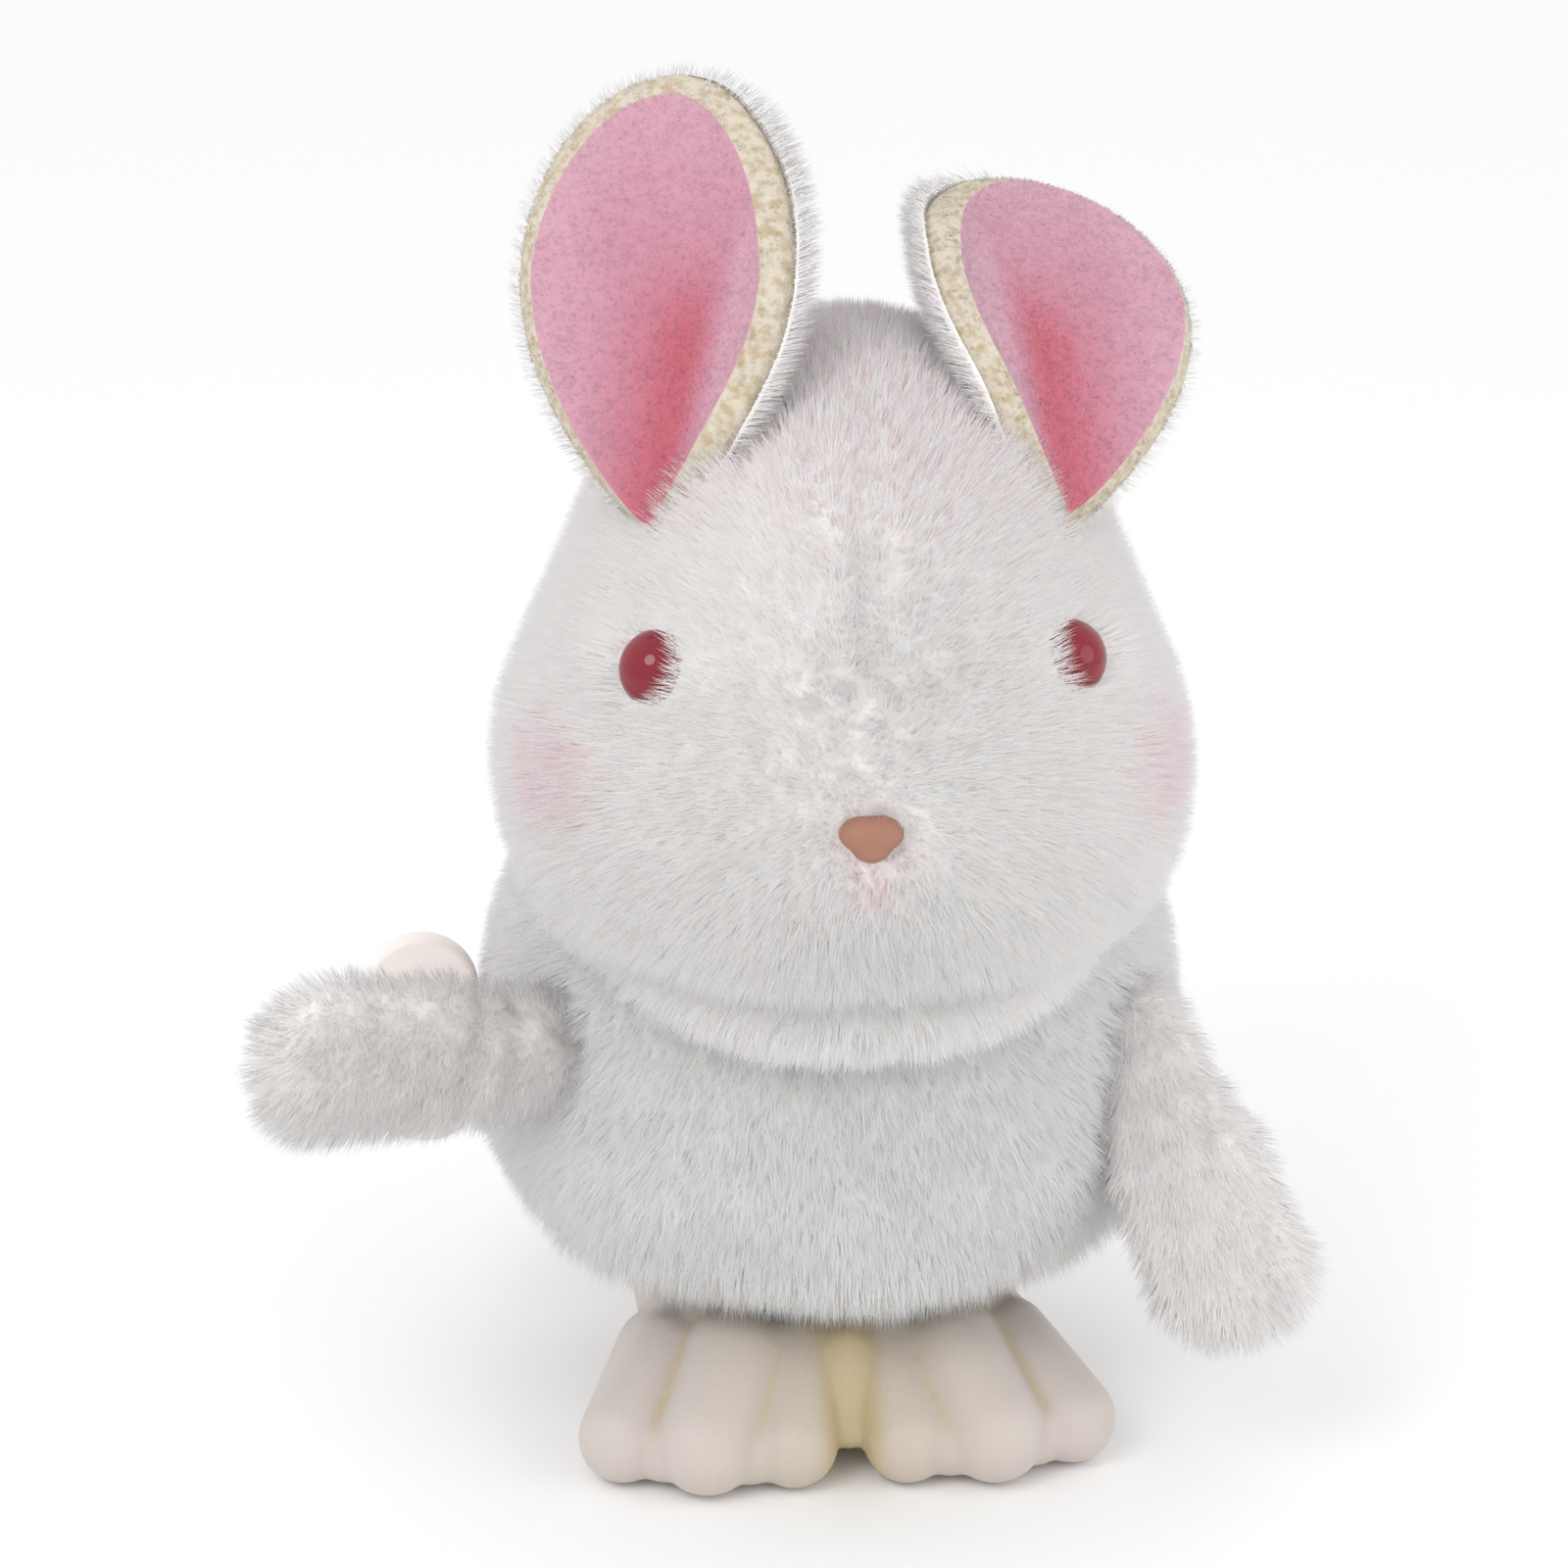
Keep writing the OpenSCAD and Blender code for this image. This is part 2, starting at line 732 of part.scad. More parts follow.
head_plush();
head_stuffing();
body_plush();
body_padding();
tail();
ear_back(-1, right_ear);  // ear_back_right
ear_back(1, left_ear);  // ear_back_left
ear_band(-1, right_ear);  // ear_band_right
ear_band(1, left_ear);  // ear_band_left
ear_lining(-1, right_ear);  // ear_lining_right
ear_lining(1, left_ear);  // ear_lining_left
eye(-1);  // eye_right
eye(1);  // eye_left
eye_washer(-1);  // eye_washer_right
eye_washer(1);  // eye_washer_left
nose();
nose_washer();
casing_left();
casing_right();
casing_screws();
base_plate();
mainspring();
foot_pin();
foot_spring();
key();
key_arbor();
ratchet_wheel();
great_wheel();
click();
click_spring();
second_wheel();
third_wheel();
crank();
feet();
foot_lever();
foot_screws();
arm_plush(-1, raised_arm_deg);  // arm_right
arm_filling(-1, raised_arm_deg);  // arm_stuffing_right
arm_plush(1, hanging_arm_deg);  // arm_left
arm_filling(1, hanging_arm_deg);  // arm_stuffing_left
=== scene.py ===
"""Clockwork plush rabbit: the looks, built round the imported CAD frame. Metres, face along -Y, +Z up."""
import json
import math

import bmesh
import bpy
import numpy as np
from mathutils import Matrix, Vector
from mathutils.bvhtree import BVHTree
from mathutils.kdtree import KDTree


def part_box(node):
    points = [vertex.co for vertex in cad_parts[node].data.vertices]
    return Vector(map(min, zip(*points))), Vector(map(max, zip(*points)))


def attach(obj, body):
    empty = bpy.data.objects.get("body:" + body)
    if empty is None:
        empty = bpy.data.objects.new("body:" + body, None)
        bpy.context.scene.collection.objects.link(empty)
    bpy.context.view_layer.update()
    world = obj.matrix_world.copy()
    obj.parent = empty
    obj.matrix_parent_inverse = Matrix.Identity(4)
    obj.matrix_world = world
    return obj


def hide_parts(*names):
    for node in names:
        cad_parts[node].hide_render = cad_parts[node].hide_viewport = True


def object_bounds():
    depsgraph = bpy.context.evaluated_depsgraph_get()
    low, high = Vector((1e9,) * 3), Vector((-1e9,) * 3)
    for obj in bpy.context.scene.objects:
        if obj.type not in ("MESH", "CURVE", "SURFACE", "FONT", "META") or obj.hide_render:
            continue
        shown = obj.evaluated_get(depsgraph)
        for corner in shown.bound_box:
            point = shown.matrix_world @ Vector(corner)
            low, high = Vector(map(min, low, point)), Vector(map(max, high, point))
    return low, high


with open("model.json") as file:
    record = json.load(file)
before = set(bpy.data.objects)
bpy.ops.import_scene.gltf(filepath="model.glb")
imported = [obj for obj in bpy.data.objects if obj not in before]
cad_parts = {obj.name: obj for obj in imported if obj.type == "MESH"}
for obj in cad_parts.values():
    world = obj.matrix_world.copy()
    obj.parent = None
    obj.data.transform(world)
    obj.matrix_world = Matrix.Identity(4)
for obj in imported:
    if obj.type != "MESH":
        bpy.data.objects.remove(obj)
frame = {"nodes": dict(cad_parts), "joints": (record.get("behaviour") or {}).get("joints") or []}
CAD_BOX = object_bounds()

MM = 0.001
X_AXIS, Y_AXIS, UP = np.eye(3)
LOW, TOP = (np.array(corner) for corner in CAD_BOX)
JOINTS = {joint["name"]: joint for joint in frame["joints"]}


def mm(*values):
    return np.array(values, dtype=float) * MM


def unit(v):
    return v / np.maximum(np.linalg.norm(v, axis=-1, keepdims=True), 1e-12)


def smooth(low, high, x):
    """0 below low, 1 above high, and an eased ramp between them"""
    t = np.clip((x - low) / (high - low), 0.0, 1.0)
    return t * t * (3 - 2 * t)


def near(points, centre, radius):
    """1 at centre, falling to 0 at radius, which may differ by axis"""
    d = np.linalg.norm((points - centre) / radius, axis=-1)
    return 1 - smooth(0.0, 1.0, d)


# ---------------------------------------------------------------- materials

def shader(name, colour, rough, **sockets):
    """A new Principled material; sockets are its constant values, such as sheen_weight"""
    mat = bpy.data.materials.new(name)
    mat.use_nodes = True
    bsdf = mat.node_tree.nodes["Principled BSDF"]
    bsdf.inputs["Base Color"].default_value = (*colour, 1)
    bsdf.inputs["Roughness"].default_value = rough
    for key, value in sockets.items():
        bsdf.inputs[key.replace("_", " ").title().replace("Ior", "IOR")].default_value = value
    mat.diffuse_color = (*colour, 1)
    return mat


def add_node(mat, kind, **values):
    node = mat.node_tree.nodes.new(kind)
    for key, value in values.items():
        if key in node.inputs:
            node.inputs[key].default_value = value
        else:
            setattr(node, key, value)
    return node


def link(mat, a, out, b, into):
    mat.node_tree.links.new(a.outputs[out], b.inputs[into])


def noise_of(mat, scale, detail=4.0, stretch=(1, 1, 1)):
    """A noise texture in object coordinates, scale in features per metre"""
    coords = add_node(mat, "ShaderNodeTexCoord")
    mapping = add_node(mat, "ShaderNodeMapping", Scale=stretch)
    texture = add_node(mat, "ShaderNodeTexNoise", Scale=scale, Detail=detail)
    link(mat, coords, "Object", mapping, "Vector")
    link(mat, mapping, "Vector", texture, "Vector")
    return texture


def ramp_of(mat, source, out, stops):
    """A colour ramp fed by source; stops are (position, colour)"""
    ramp = add_node(mat, "ShaderNodeValToRGB")
    elements = ramp.color_ramp.elements
    while len(elements) < len(stops):
        elements.new(0.5)
    for element, (place, colour) in zip(elements, stops):
        element.position = place
        element.color = (*colour, 1)
    link(mat, source, out, ramp, "Fac")
    return ramp


def mottled(mat, scale, stops, stretch=(1, 1, 1), detail=4.0):
    """Colours a material's base by noise through a ramp"""
    ramp = ramp_of(mat, noise_of(mat, scale, detail, stretch), "Fac", stops)
    link(mat, ramp, "Color", mat.node_tree.nodes["Principled BSDF"], "Base Color")
    return mat


def bumped(mat, scale, height, strength=1.0, stretch=(1, 1, 1), detail=3.0):
    """Roughens a material's surface by noise, height in metres"""
    bump = add_node(mat, "ShaderNodeBump", Strength=strength, Distance=height)
    link(mat, noise_of(mat, scale, detail, stretch), "Fac", bump, "Height")
    link(mat, bump, "Normal", mat.node_tree.nodes["Principled BSDF"], "Normal")
    return mat


def hair(name, colour):
    """One shade of pile; a piece of fur mixes several shades strand by strand"""
    return shader(name, colour, 0.85, sheen_weight=0.25, sheen_roughness=0.5)


PILE = {
    "warm": hair("pile_warm_white", (0.985, 0.955, 0.945)),
    "white": hair("pile_white", (0.985, 0.972, 0.968)),
    "cool": hair("pile_cool_white", (0.96, 0.965, 0.962)),
    "cream": hair("pile_cream", (0.97, 0.93, 0.87)),
    "blush": hair("pile_blush", (0.95, 0.78, 0.82)),
    "rose": hair("pile_rose", (0.93, 0.64, 0.72)),
}
# The ear velour's pile: pink is its own colour, pale is it with painted light for the top and edges, deep and
# rose are it with painted shade for the fold
VELOUR = {
    "pale": hair("velour_pale", (0.65, 0.40, 0.48)),
    "pink": hair("velour_pink", (0.62, 0.31, 0.40)),
    "deep": hair("velour_deep", (0.60, 0.20, 0.27)),
    "rose": hair("velour_rose", (0.56, 0.13, 0.19)),
}
FELT = {
    "cream": hair("felt_cream", (0.65, 0.585, 0.485)),
    "pale": hair("felt_pale", (0.72, 0.67, 0.585)),
    "gold": hair("felt_gold", (0.50, 0.36, 0.18)),
}
skin_cloth = bumped(mottled(shader("knitted_backing", (0.9, 0.88, 0.86), 0.9), 400,
                            [(0.3, (0.90, 0.88, 0.86)), (0.7, (0.95, 0.94, 0.93))]), 2500, 0.15 * MM)
ear_felt = mottled(shader("ear_felt", (0.85, 0.76, 0.58), 0.9), 900,
                   [(0.35, (0.51, 0.41, 0.27)), (0.55, (0.65, 0.585, 0.485))], detail=6)
ear_felt = bumped(ear_felt, 2200, 0.25 * MM)
nose_plastic = bumped(shader("nose_plastic", (0.36, 0.16, 0.108), 0.5, subsurface_weight=0.1),
                      900, 0.05 * MM, 0.5)
key_plastic = bumped(shader("key_plastic", (0.93, 0.84, 0.81), 0.38, subsurface_weight=0.1),
                     1200, 0.02 * MM, 0.4)
eye_glass = shader("eye_glass", (0.22, 0.005, 0.018), 0.08, specular_ior_level=0.5)
washer_nylon = mottled(shader("washer_nylon", (0.85, 0.85, 0.83), 0.4), 300,
                       [(0.4, (0.82, 0.82, 0.80)), (0.6, (0.88, 0.88, 0.86))])
casing_plastic = bumped(mottled(shader("casing_plastic", (0.55, 0.64, 0.72), 0.45), 250,
                                [(0.4, (0.53, 0.62, 0.70)), (0.6, (0.57, 0.66, 0.74))]), 1500, 0.03 * MM, 0.5)
brass = bumped(shader("brass", (0.78, 0.57, 0.23), 0.32, metallic=1.0), 1800, 0.02 * MM, 0.5)
bright_steel = bumped(shader("bright_steel", (0.66, 0.67, 0.68), 0.28, metallic=1.0), 1800, 0.02 * MM, 0.5)
spring_steel = bumped(shader("spring_steel", (0.36, 0.38, 0.42), 0.35, metallic=1.0), 1500, 0.02 * MM, 0.5)
floor_paper = shader("floor_paper", (0.96, 0.96, 0.96), 0.9)


def with_painted_shading(mat, stops):
    """Colours a material along a ramp by the painted light and shade stored on its mesh"""
    painted_shading = add_node(mat, "ShaderNodeAttribute", attribute_name="painted_shading")
    link(mat, ramp_of(mat, painted_shading, "Fac", stops), "Color", mat.node_tree.nodes["Principled BSDF"], "Base Color")
    return mat


def make_vinyl():
    """Warm white soft vinyl with fine upright striations, and painted shade, darker and yellower, in its
    grooves and between the inner toes
    """
    mat = shader("feet_vinyl", (0.9, 0.84, 0.8), 0.55, subsurface_weight=0.12,
                 subsurface_radius=(0.004, 0.003, 0.002))
    with_painted_shading(mat, [(0.0, (0.59, 0.53, 0.49)), (0.4, (0.555, 0.485, 0.40)), (1.0, (0.54, 0.44, 0.275))])
    return bumped(mat, 260, 0.12 * MM, 0.6, stretch=(5.5, 5.5, 0.35))


feet_vinyl = make_vinyl()
# The ramp runs from painted light (pale, at 0) through the velour's own pink (0.35) to painted shade (deep
# rose, at 1)
ear_velour = with_painted_shading(shader("ear_velour", (0.66, 0.31, 0.39), 0.9, sheen_weight=0.2),
                    [(0.0, (0.61, 0.34, 0.42)), (0.35, (0.56, 0.26, 0.34)), (1.0, (0.52, 0.12, 0.165))])
ear_velour = bumped(ear_velour, 3000, 0.1 * MM)


# ---------------------------------------------------------------- meshes

def new_piece(name, verts, faces, materials, body, face_slots=None):
    """A smooth-shaded mesh object that rides on a body"""
    mesh = bpy.data.meshes.new(name)
    mesh.from_pydata([tuple(v) for v in verts], [], faces)
    mesh.update()
    return finish_piece(name, mesh, materials, body, face_slots)


def finish_piece(name, mesh, materials, body, face_slots=None):
    for mat in materials:
        mesh.materials.append(mat)
    if face_slots is not None:
        mesh.polygons.foreach_set("material_index", np.asarray(face_slots, dtype=np.int32))
    mesh.polygons.foreach_set("use_smooth", np.ones(len(mesh.polygons), dtype=bool))
    piece = bpy.data.objects.new(name, mesh)
    bpy.context.scene.collection.objects.link(piece)
    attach(piece, body)
    return piece


def points_of(mesh):
    """The places of a mesh's vertices"""
    co = np.empty(len(mesh.vertices) * 3)
    mesh.vertices.foreach_get("co", co)
    return co.reshape(-1, 3)


def normals_of(mesh):
    """The smooth normals at a mesh's vertices"""
    normal = np.empty(len(mesh.vertices) * 3)
    mesh.vertices.foreach_get("normal", normal)
    return normal.reshape(-1, 3)


def apply_modifiers(piece):
    """Turns the piece's modifiers into its own mesh"""
    graph = bpy.context.evaluated_depsgraph_get()
    mesh = bpy.data.meshes.new_from_object(piece.evaluated_get(graph))
    piece.modifiers.clear()
    piece.data = mesh
    return piece


def icosphere(subdivisions):
    """(unit directions, faces) of an even sphere"""
    bm = bmesh.new()
    bmesh.ops.create_icosphere(bm, subdivisions=subdivisions, radius=1)
    directions = np.array([v.co[:] for v in bm.verts])
    faces = [[v.index for v in f.verts] for f in bm.faces]
    bm.free()
    return unit(directions), faces


def reach(origin, directions, forms, sharp=26):
    """Distance from origin to the blended outside of several ellipsoids, each (centre, radii)"""
    total = np.zeros(len(directions))
    for centre, radii in forms:
        o, d = (origin - centre) / radii, directions / radii
        a, b, c = (d * d).sum(-1), (o * d).sum(-1), (o * o).sum() - 1
        square = b * b - a * c
        far = np.where(square > 0, (-b + np.sqrt(np.maximum(square, 0))) / a, 0)
        total += np.maximum(far / MM, 0) ** sharp
    return total ** (1 / sharp) * MM


def steps_between(a, b, count):
    """Ellipsoids that fill the space between two"""
    return [(a[0] + (b[0] - a[0]) * t, a[1] + (b[1] - a[1]) * t) for t in np.linspace(0, 1, count)]


def inside(points, forms, grow=0.0):
    """True where a point is within any of the ellipsoids"""
    hit = np.zeros(len(points), dtype=bool)
    for centre, radii in forms:
        hit |= (((points - centre) / (radii + grow)) ** 2).sum(-1) < 1
    return hit


# ---------------------------------------------------------------- fur

ROOT_DEPTH = 0.25 * MM
BIG_TUFT, SMALL_TUFT = 60, 12  # strands that lean together


def surface_of(piece):
    """Corners, vertex normals and areas of a piece's triangles"""
    mesh = piece.data
    mesh.calc_loop_triangles()
    tris = np.empty(len(mesh.loop_triangles) * 3, dtype=np.int32)
    mesh.loop_triangles.foreach_get("vertices", tris)
    tris = tris.reshape(-1, 3)
    corners, normals = points_of(mesh)[tris], normals_of(mesh)[tris]
    area = np.linalg.norm(np.cross(corners[:, 1] - corners[:, 0], corners[:, 2] - corners[:, 0]), axis=1) / 2
    return corners, normals, area


def scatter(piece, per_mm2, rng):
    """Random points on a piece with the smooth normals there"""
    corners, normals, area = surface_of(piece)
    count = int(area.sum() / MM**2 * per_mm2)
    pick = rng.choice(len(area), count, p=area / area.sum())
    r1, r2 = np.sqrt(rng.random(count))[:, None], rng.random(count)[:, None]
    shares = (1 - r1, r1 * (1 - r2), r1 * r2)
    points = sum(share * corners[pick, i] for i, share in enumerate(shares))
    normal = unit(sum(share * normals[pick, i] for i, share in enumerate(shares)))
    return points, normal


def tuft(points, roots, tips, strands, pull, rng):
    """Draws the tips of so many neighbouring strands together, as pile does"""
    count = max(int(len(points) / strands), 1)
    centres = rng.choice(len(points), count, replace=False)
    tree = KDTree(count)
    for i, index in enumerate(centres):
        tree.insert(points[index], i)
    tree.balance()
    owner = centres[np.array([tree.find(p)[1] for p in points])]
    offset = roots - roots[owner]
    pull = np.broadcast_to(pull, len(points))[:, None]
    tips += (tips[owner] + offset * 0.25 - tips) * pull


def grow_fur(name, skin, body, look, shades, per_mm2, width, seed, keep=None):
    """A coat of three-sided strands on a skin. look(points, normals, rng) gives each strand's length, flow
    (the way it is combed), lean (how far it lies over), mess (how far it strays), pull (how strongly it
    clumps), shade (its place in shades) and soft (how far it is lit like the skin below it)."""
    rng = np.random.default_rng(seed)
    points, normal = scatter(skin, per_mm2 * QUICK, rng)
    if keep is not None:
        mask = keep(points)
        points, normal = points[mask], normal[mask]
    count = len(points)
    strand = look(points, normal, rng)
    length = (strand["length"] * rng.uniform(0.78, 1.12, count))[:, None]
    flow = strand["flow"] - (strand["flow"] * normal).sum(-1, keepdims=True) * normal
    lean = np.broadcast_to(strand["lean"], count)[:, None]
    mess = np.broadcast_to(strand["mess"], count)[:, None]
    stray = rng.normal(size=(count, 3))
    out = unit(normal * (1 - lean * 0.55) + flow * lean * 0.7 + stray * mess * 0.6)
    over = unit(normal * (1 - lean) + flow * lean * 1.3 + (stray + rng.normal(size=(count, 3)) * 0.7) * mess)
    roots = points - normal * ROOT_DEPTH
    tips = roots + out * length * 0.5 + over * length * 0.55
    tuft(points, roots, tips, BIG_TUFT, strand["pull"] * 0.6, rng)
    tuft(points, roots, tips, strand.get("small_tuft", SMALL_TUFT), strand["pull"], rng)

    along = unit(tips - roots)
    side = unit(np.cross(along, normal) + rng.normal(size=(count, 3)) * 1e-4)
    rise = unit(np.cross(along, side))
    half = (width / 2) * rng.uniform(0.75, 1.25, count)[:, None]
    roll = rng.uniform(0, 2 * np.pi, count)[:, None]
    rows, shading = [], []
    for corner in range(3):
        turn = roll + corner * 2 * np.pi / 3
        around = side * np.cos(turn) + rise * np.sin(turn)
        rows.append(roots + around * half)
        shading.append(unit(normal * strand.get("soft", 0.65) + around))
    rows.append(tips)
    shading.append(normal)
    loops = np.array([[0, 1, 3], [1, 2, 3], [2, 0, 3]]).ravel()
    mesh = bpy.data.meshes.new(name)
    mesh.vertices.add(count * 4)
    mesh.loops.add(count * 9)
    mesh.polygons.add(count * 3)
    mesh.vertices.foreach_set("co", np.stack(rows, axis=1).astype(np.float32).ravel())
    corners = loops + np.arange(count)[:, None] * 4
    mesh.loops.foreach_set("vertex_index", corners.astype(np.int32).ravel())
    mesh.polygons.foreach_set("loop_start", np.arange(0, count * 9, 3, dtype=np.int32))
    mesh.update(calc_edges=True)
    store = mesh.attributes.new("custom_normal", "FLOAT_VECTOR", "POINT")
    store.data.foreach_set("vector", np.stack(shading, axis=1).astype(np.float32).ravel())
    return finish_piece(name, mesh, shades, body, np.repeat(strand["shade"], 3))


def pick_shade(rng, *shares):
    """A shade for each strand; each share is an array or a number, and the first takes the rest"""
    count = max(np.size(s) for s in shares)
    draw = rng.random(count)
    chosen = np.zeros(count, dtype=np.int64)
    reached = np.zeros(count)
    for i, share in enumerate(shares, start=1):
        chosen = np.where((draw >= reached) & (draw < reached + share), i, chosen)
        reached = reached + share
    return chosen


# ---------------------------------------------------------------- head and body forms

HEAD_LOW, HEAD_HIGH = (np.array(c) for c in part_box("head_plush"))
BODY_LOW, BODY_HIGH = (np.array(c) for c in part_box("body_plush"))
INSET = 2.2 * MM  # the backing cloth lies this far under the tips that the CAD solid stands for
CROWN = HEAD_HIGH[2]
HEAD_W, BODY_W = HEAD_HIGH[0], BODY_HIGH[0]
QUICK = 1.0
FUR_SHADES = [PILE[k] for k in ("warm", "white", "cool", "cream", "blush", "rose")]
MUZZLE_Y = HEAD_LOW[1]

skull = (np.array([0, HEAD_HIGH[1] - 35 * MM, CROWN - 37.5 * MM]), mm(30, 35, 37.5) - INSET)
cheeks = (np.array([0, HEAD_HIGH[1] - 40 * MM, CROWN - 46 * MM]),
          np.array([HEAD_W, 34 * MM, 25.5 * MM]) - INSET)
jowl = (np.array([0, HEAD_HIGH[1] - 41 * MM, CROWN - 56 * MM]), mm(29.5, 29.5, 20.5) - INSET)
muzzle = (np.array([0, MUZZLE_Y + 14 * MM, CROWN - 49 * MM]), mm(17, 14, 13.5) - INSET)
HEAD_FORMS = steps_between(skull, cheeks, 4)
HEAD_FORMS += steps_between(cheeks, muzzle, 3)[1:]
HEAD_FORMS += steps_between(cheeks, jowl, 3)[1:]
HEAD_MIDDLE = cheeks[0] + mm(0, 0, 3)

chest = (np.array([0, BODY_HIGH[1] - 33 * MM, 50 * MM]), np.array([BODY_W, 33 * MM, 30 * MM]) - INSET)
belly = (np.array([0, BODY_HIGH[1] - 35 * MM, 37 * MM]), np.array([BODY_W, 31 * MM, 17 * MM]) - INSET)
seat = (np.array([0, BODY_HIGH[1] - 35 * MM, 27.5 * MM]), mm(33.5, 28.5, 7.5) - INSET)
BODY_FORMS = steps_between(chest, belly, 3) + steps_between(belly, seat, 5)[1:]
BODY_MIDDLE = np.array([0, 2 * MM, 43 * MM])

EYE_LOW, EYE_HIGH = (np.array(c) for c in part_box("eye_left"))
NOSE_LOW, NOSE_HIGH = (np.array(c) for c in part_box("nose"))
EYE_R = 4 * MM
EYE = np.array([EYE_HIGH[0] - EYE_R, EYE_LOW[1] + EYE_R, EYE_HIGH[2] - EYE_R])
NOSE = np.array([(NOSE_LOW[0] + NOSE_HIGH[0]) / 2, NOSE_LOW[1] + 1.9 * MM, (NOSE_LOW[2] + NOSE_HIGH[2]) / 2])
SIDES = (-1, 1)
TUCK_Z = CROWN - 29.5 * MM
CREASE_Z = NOSE[2] - 19.5 * MM
BLUSH = np.array([HEAD_W - 6 * MM, HEAD_LOW[1] + 21 * MM, CROWN - 42 * MM])

TAIL_R = 6 * MM
TAIL = np.array([0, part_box("tail")[1][1] - 9 * MM, sum(c[2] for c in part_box("tail")) / 2])

ARM_INSET = 2.0 * MM
ARM_FORMS = ((0, 0, (7.2, 5.6, 7.2)), (15, 0, (8.5, 5.6, 8.8)), (27, 0.4, (9, 5.4, 9.8)))
ARM_MIDDLE = mm(15, 0, 0)
ARM_END = 36 * MM

EAR_H = 46 * MM
EAR_HALF_W = 13.5 * MM
EAR_WIDE = 0.56 * EAR_H
EAR_CURL_R = 18 * MM
EAR_EDGE = 3.4 * MM
EAR_SEGMENTS = 120
INNER_TAPER = 1.2  # how straight the side next to the crown runs down to the tip
EAR_PART = 1.1 * MM  # the head's fur is parted within this distance of a lining

FOOT_LOW, FOOT_HIGH = (np.array(c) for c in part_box("feet"))
FEET_W = FOOT_HIGH[0] / MM * 2
TOE_Y, HEEL_Y = FOOT_LOW[1] / MM, FOOT_HIGH[1] / MM

KEY_LOW, KEY_HIGH = (np.array(c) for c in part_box("key"))
KEY_MIDDLE = (KEY_LOW + KEY_HIGH) / 2
KEY_LOBE_R = 6.1 * MM
KEY_WING_X = KEY_LOW[0] + KEY_LOBE_R
KEY_WAIST = 4.4 * MM
KEY_T = 3 * MM
KEY_HUB_R = (KEY_HIGH[1] - KEY_LOW[1]) / 2
KEY_HUB_X = (KEY_WING_X - 3 * MM, KEY_HIGH[0])


def mirrored(point, side):
    return point * np.array([side, 1, 1])


def eye_gap(p):
    """True where a point is in the bare ring that an eye sits in"""
    gap = np.zeros(len(p), dtype=bool)
    for side in SIDES:
        gap |= np.linalg.norm(p - mirrored(EYE, side), axis=-1) < EYE_R - 0.3 * MM
    return gap


def nose_gap(p):
    return (((p - NOSE) / mm(2.8, 6, 2.0)) ** 2).sum(-1) < 1


def seam_share(p):
    """How near a point is to the seam down the forehead"""
    rise = smooth(CROWN - 33 * MM, CROWN - 28 * MM, p[:, 2])
    rise *= 1 - smooth(CROWN - 12 * MM, CROWN - 6 * MM, p[:, 2])
    return np.exp(-(p[:, 0] / (1.3 * MM)) ** 2) * rise * (p[:, 1] < 0)


def tuck_share(p):
    """How near a point is to the short cross tuck where that seam ends"""
    across = np.exp(-(p[:, 0] / (4 * MM)) ** 4)
    return across * np.exp(-((p[:, 2] - TUCK_Z) / (0.9 * MM)) ** 2) * (p[:, 1] < 0)


def skin_of(name, middle, forms, dent, body, detail=6):
    """A closed backing cloth round a point; dent moves each of its points inward"""
    directions, faces = icosphere(detail)
    away = reach(middle, directions, forms)
    points = middle + directions * away[:, None]
    points -= directions * dent(points)[:, None]
    piece = new_piece(name, points, faces, [skin_cloth], body)
    return piece


def waves(p, *rates):
    """A gentle unevenness from -1 to 1"""
    return np.sin(p[:, 0] * rates[0] + 1) * np.sin(p[:, 1] * rates[1] + 2) * np.sin(p[:, 2] * rates[2] + 3)


def chin_crease(p):
    """How near a point is to the crease under the chin, above the ruff"""
    level = CREASE_Z + 0.012 * np.abs(p[:, 0])
    ends = 1 - smooth(20 * MM, 30 * MM, np.abs(p[:, 0]))
    return np.exp(-((p[:, 2] - level) / (2.0 * MM)) ** 2) * ends * (p[:, 1] < 0)


def head_dent(p):
    dent = 0.7 * MM * np.maximum(seam_share(p), tuck_share(p)) + 0.6 * MM * waves(p, 190, 150, 170)
    dent += 2.6 * MM * chin_crease(p)
    for side in SIDES:
        dent -= 0.7 * MM * near(p, mirrored(EYE, side), 8 * MM)
        dent -= 1.2 * MM * near(p, mirrored(EYE + mm(4, 4, 0), side), 6 * MM)
        dent -= 1.0 * MM * near(p, mirrored(EYE + mm(-5, -2, -1), side), 5 * MM)
    return dent + 0.7 * MM * near(p, NOSE, 7 * MM)


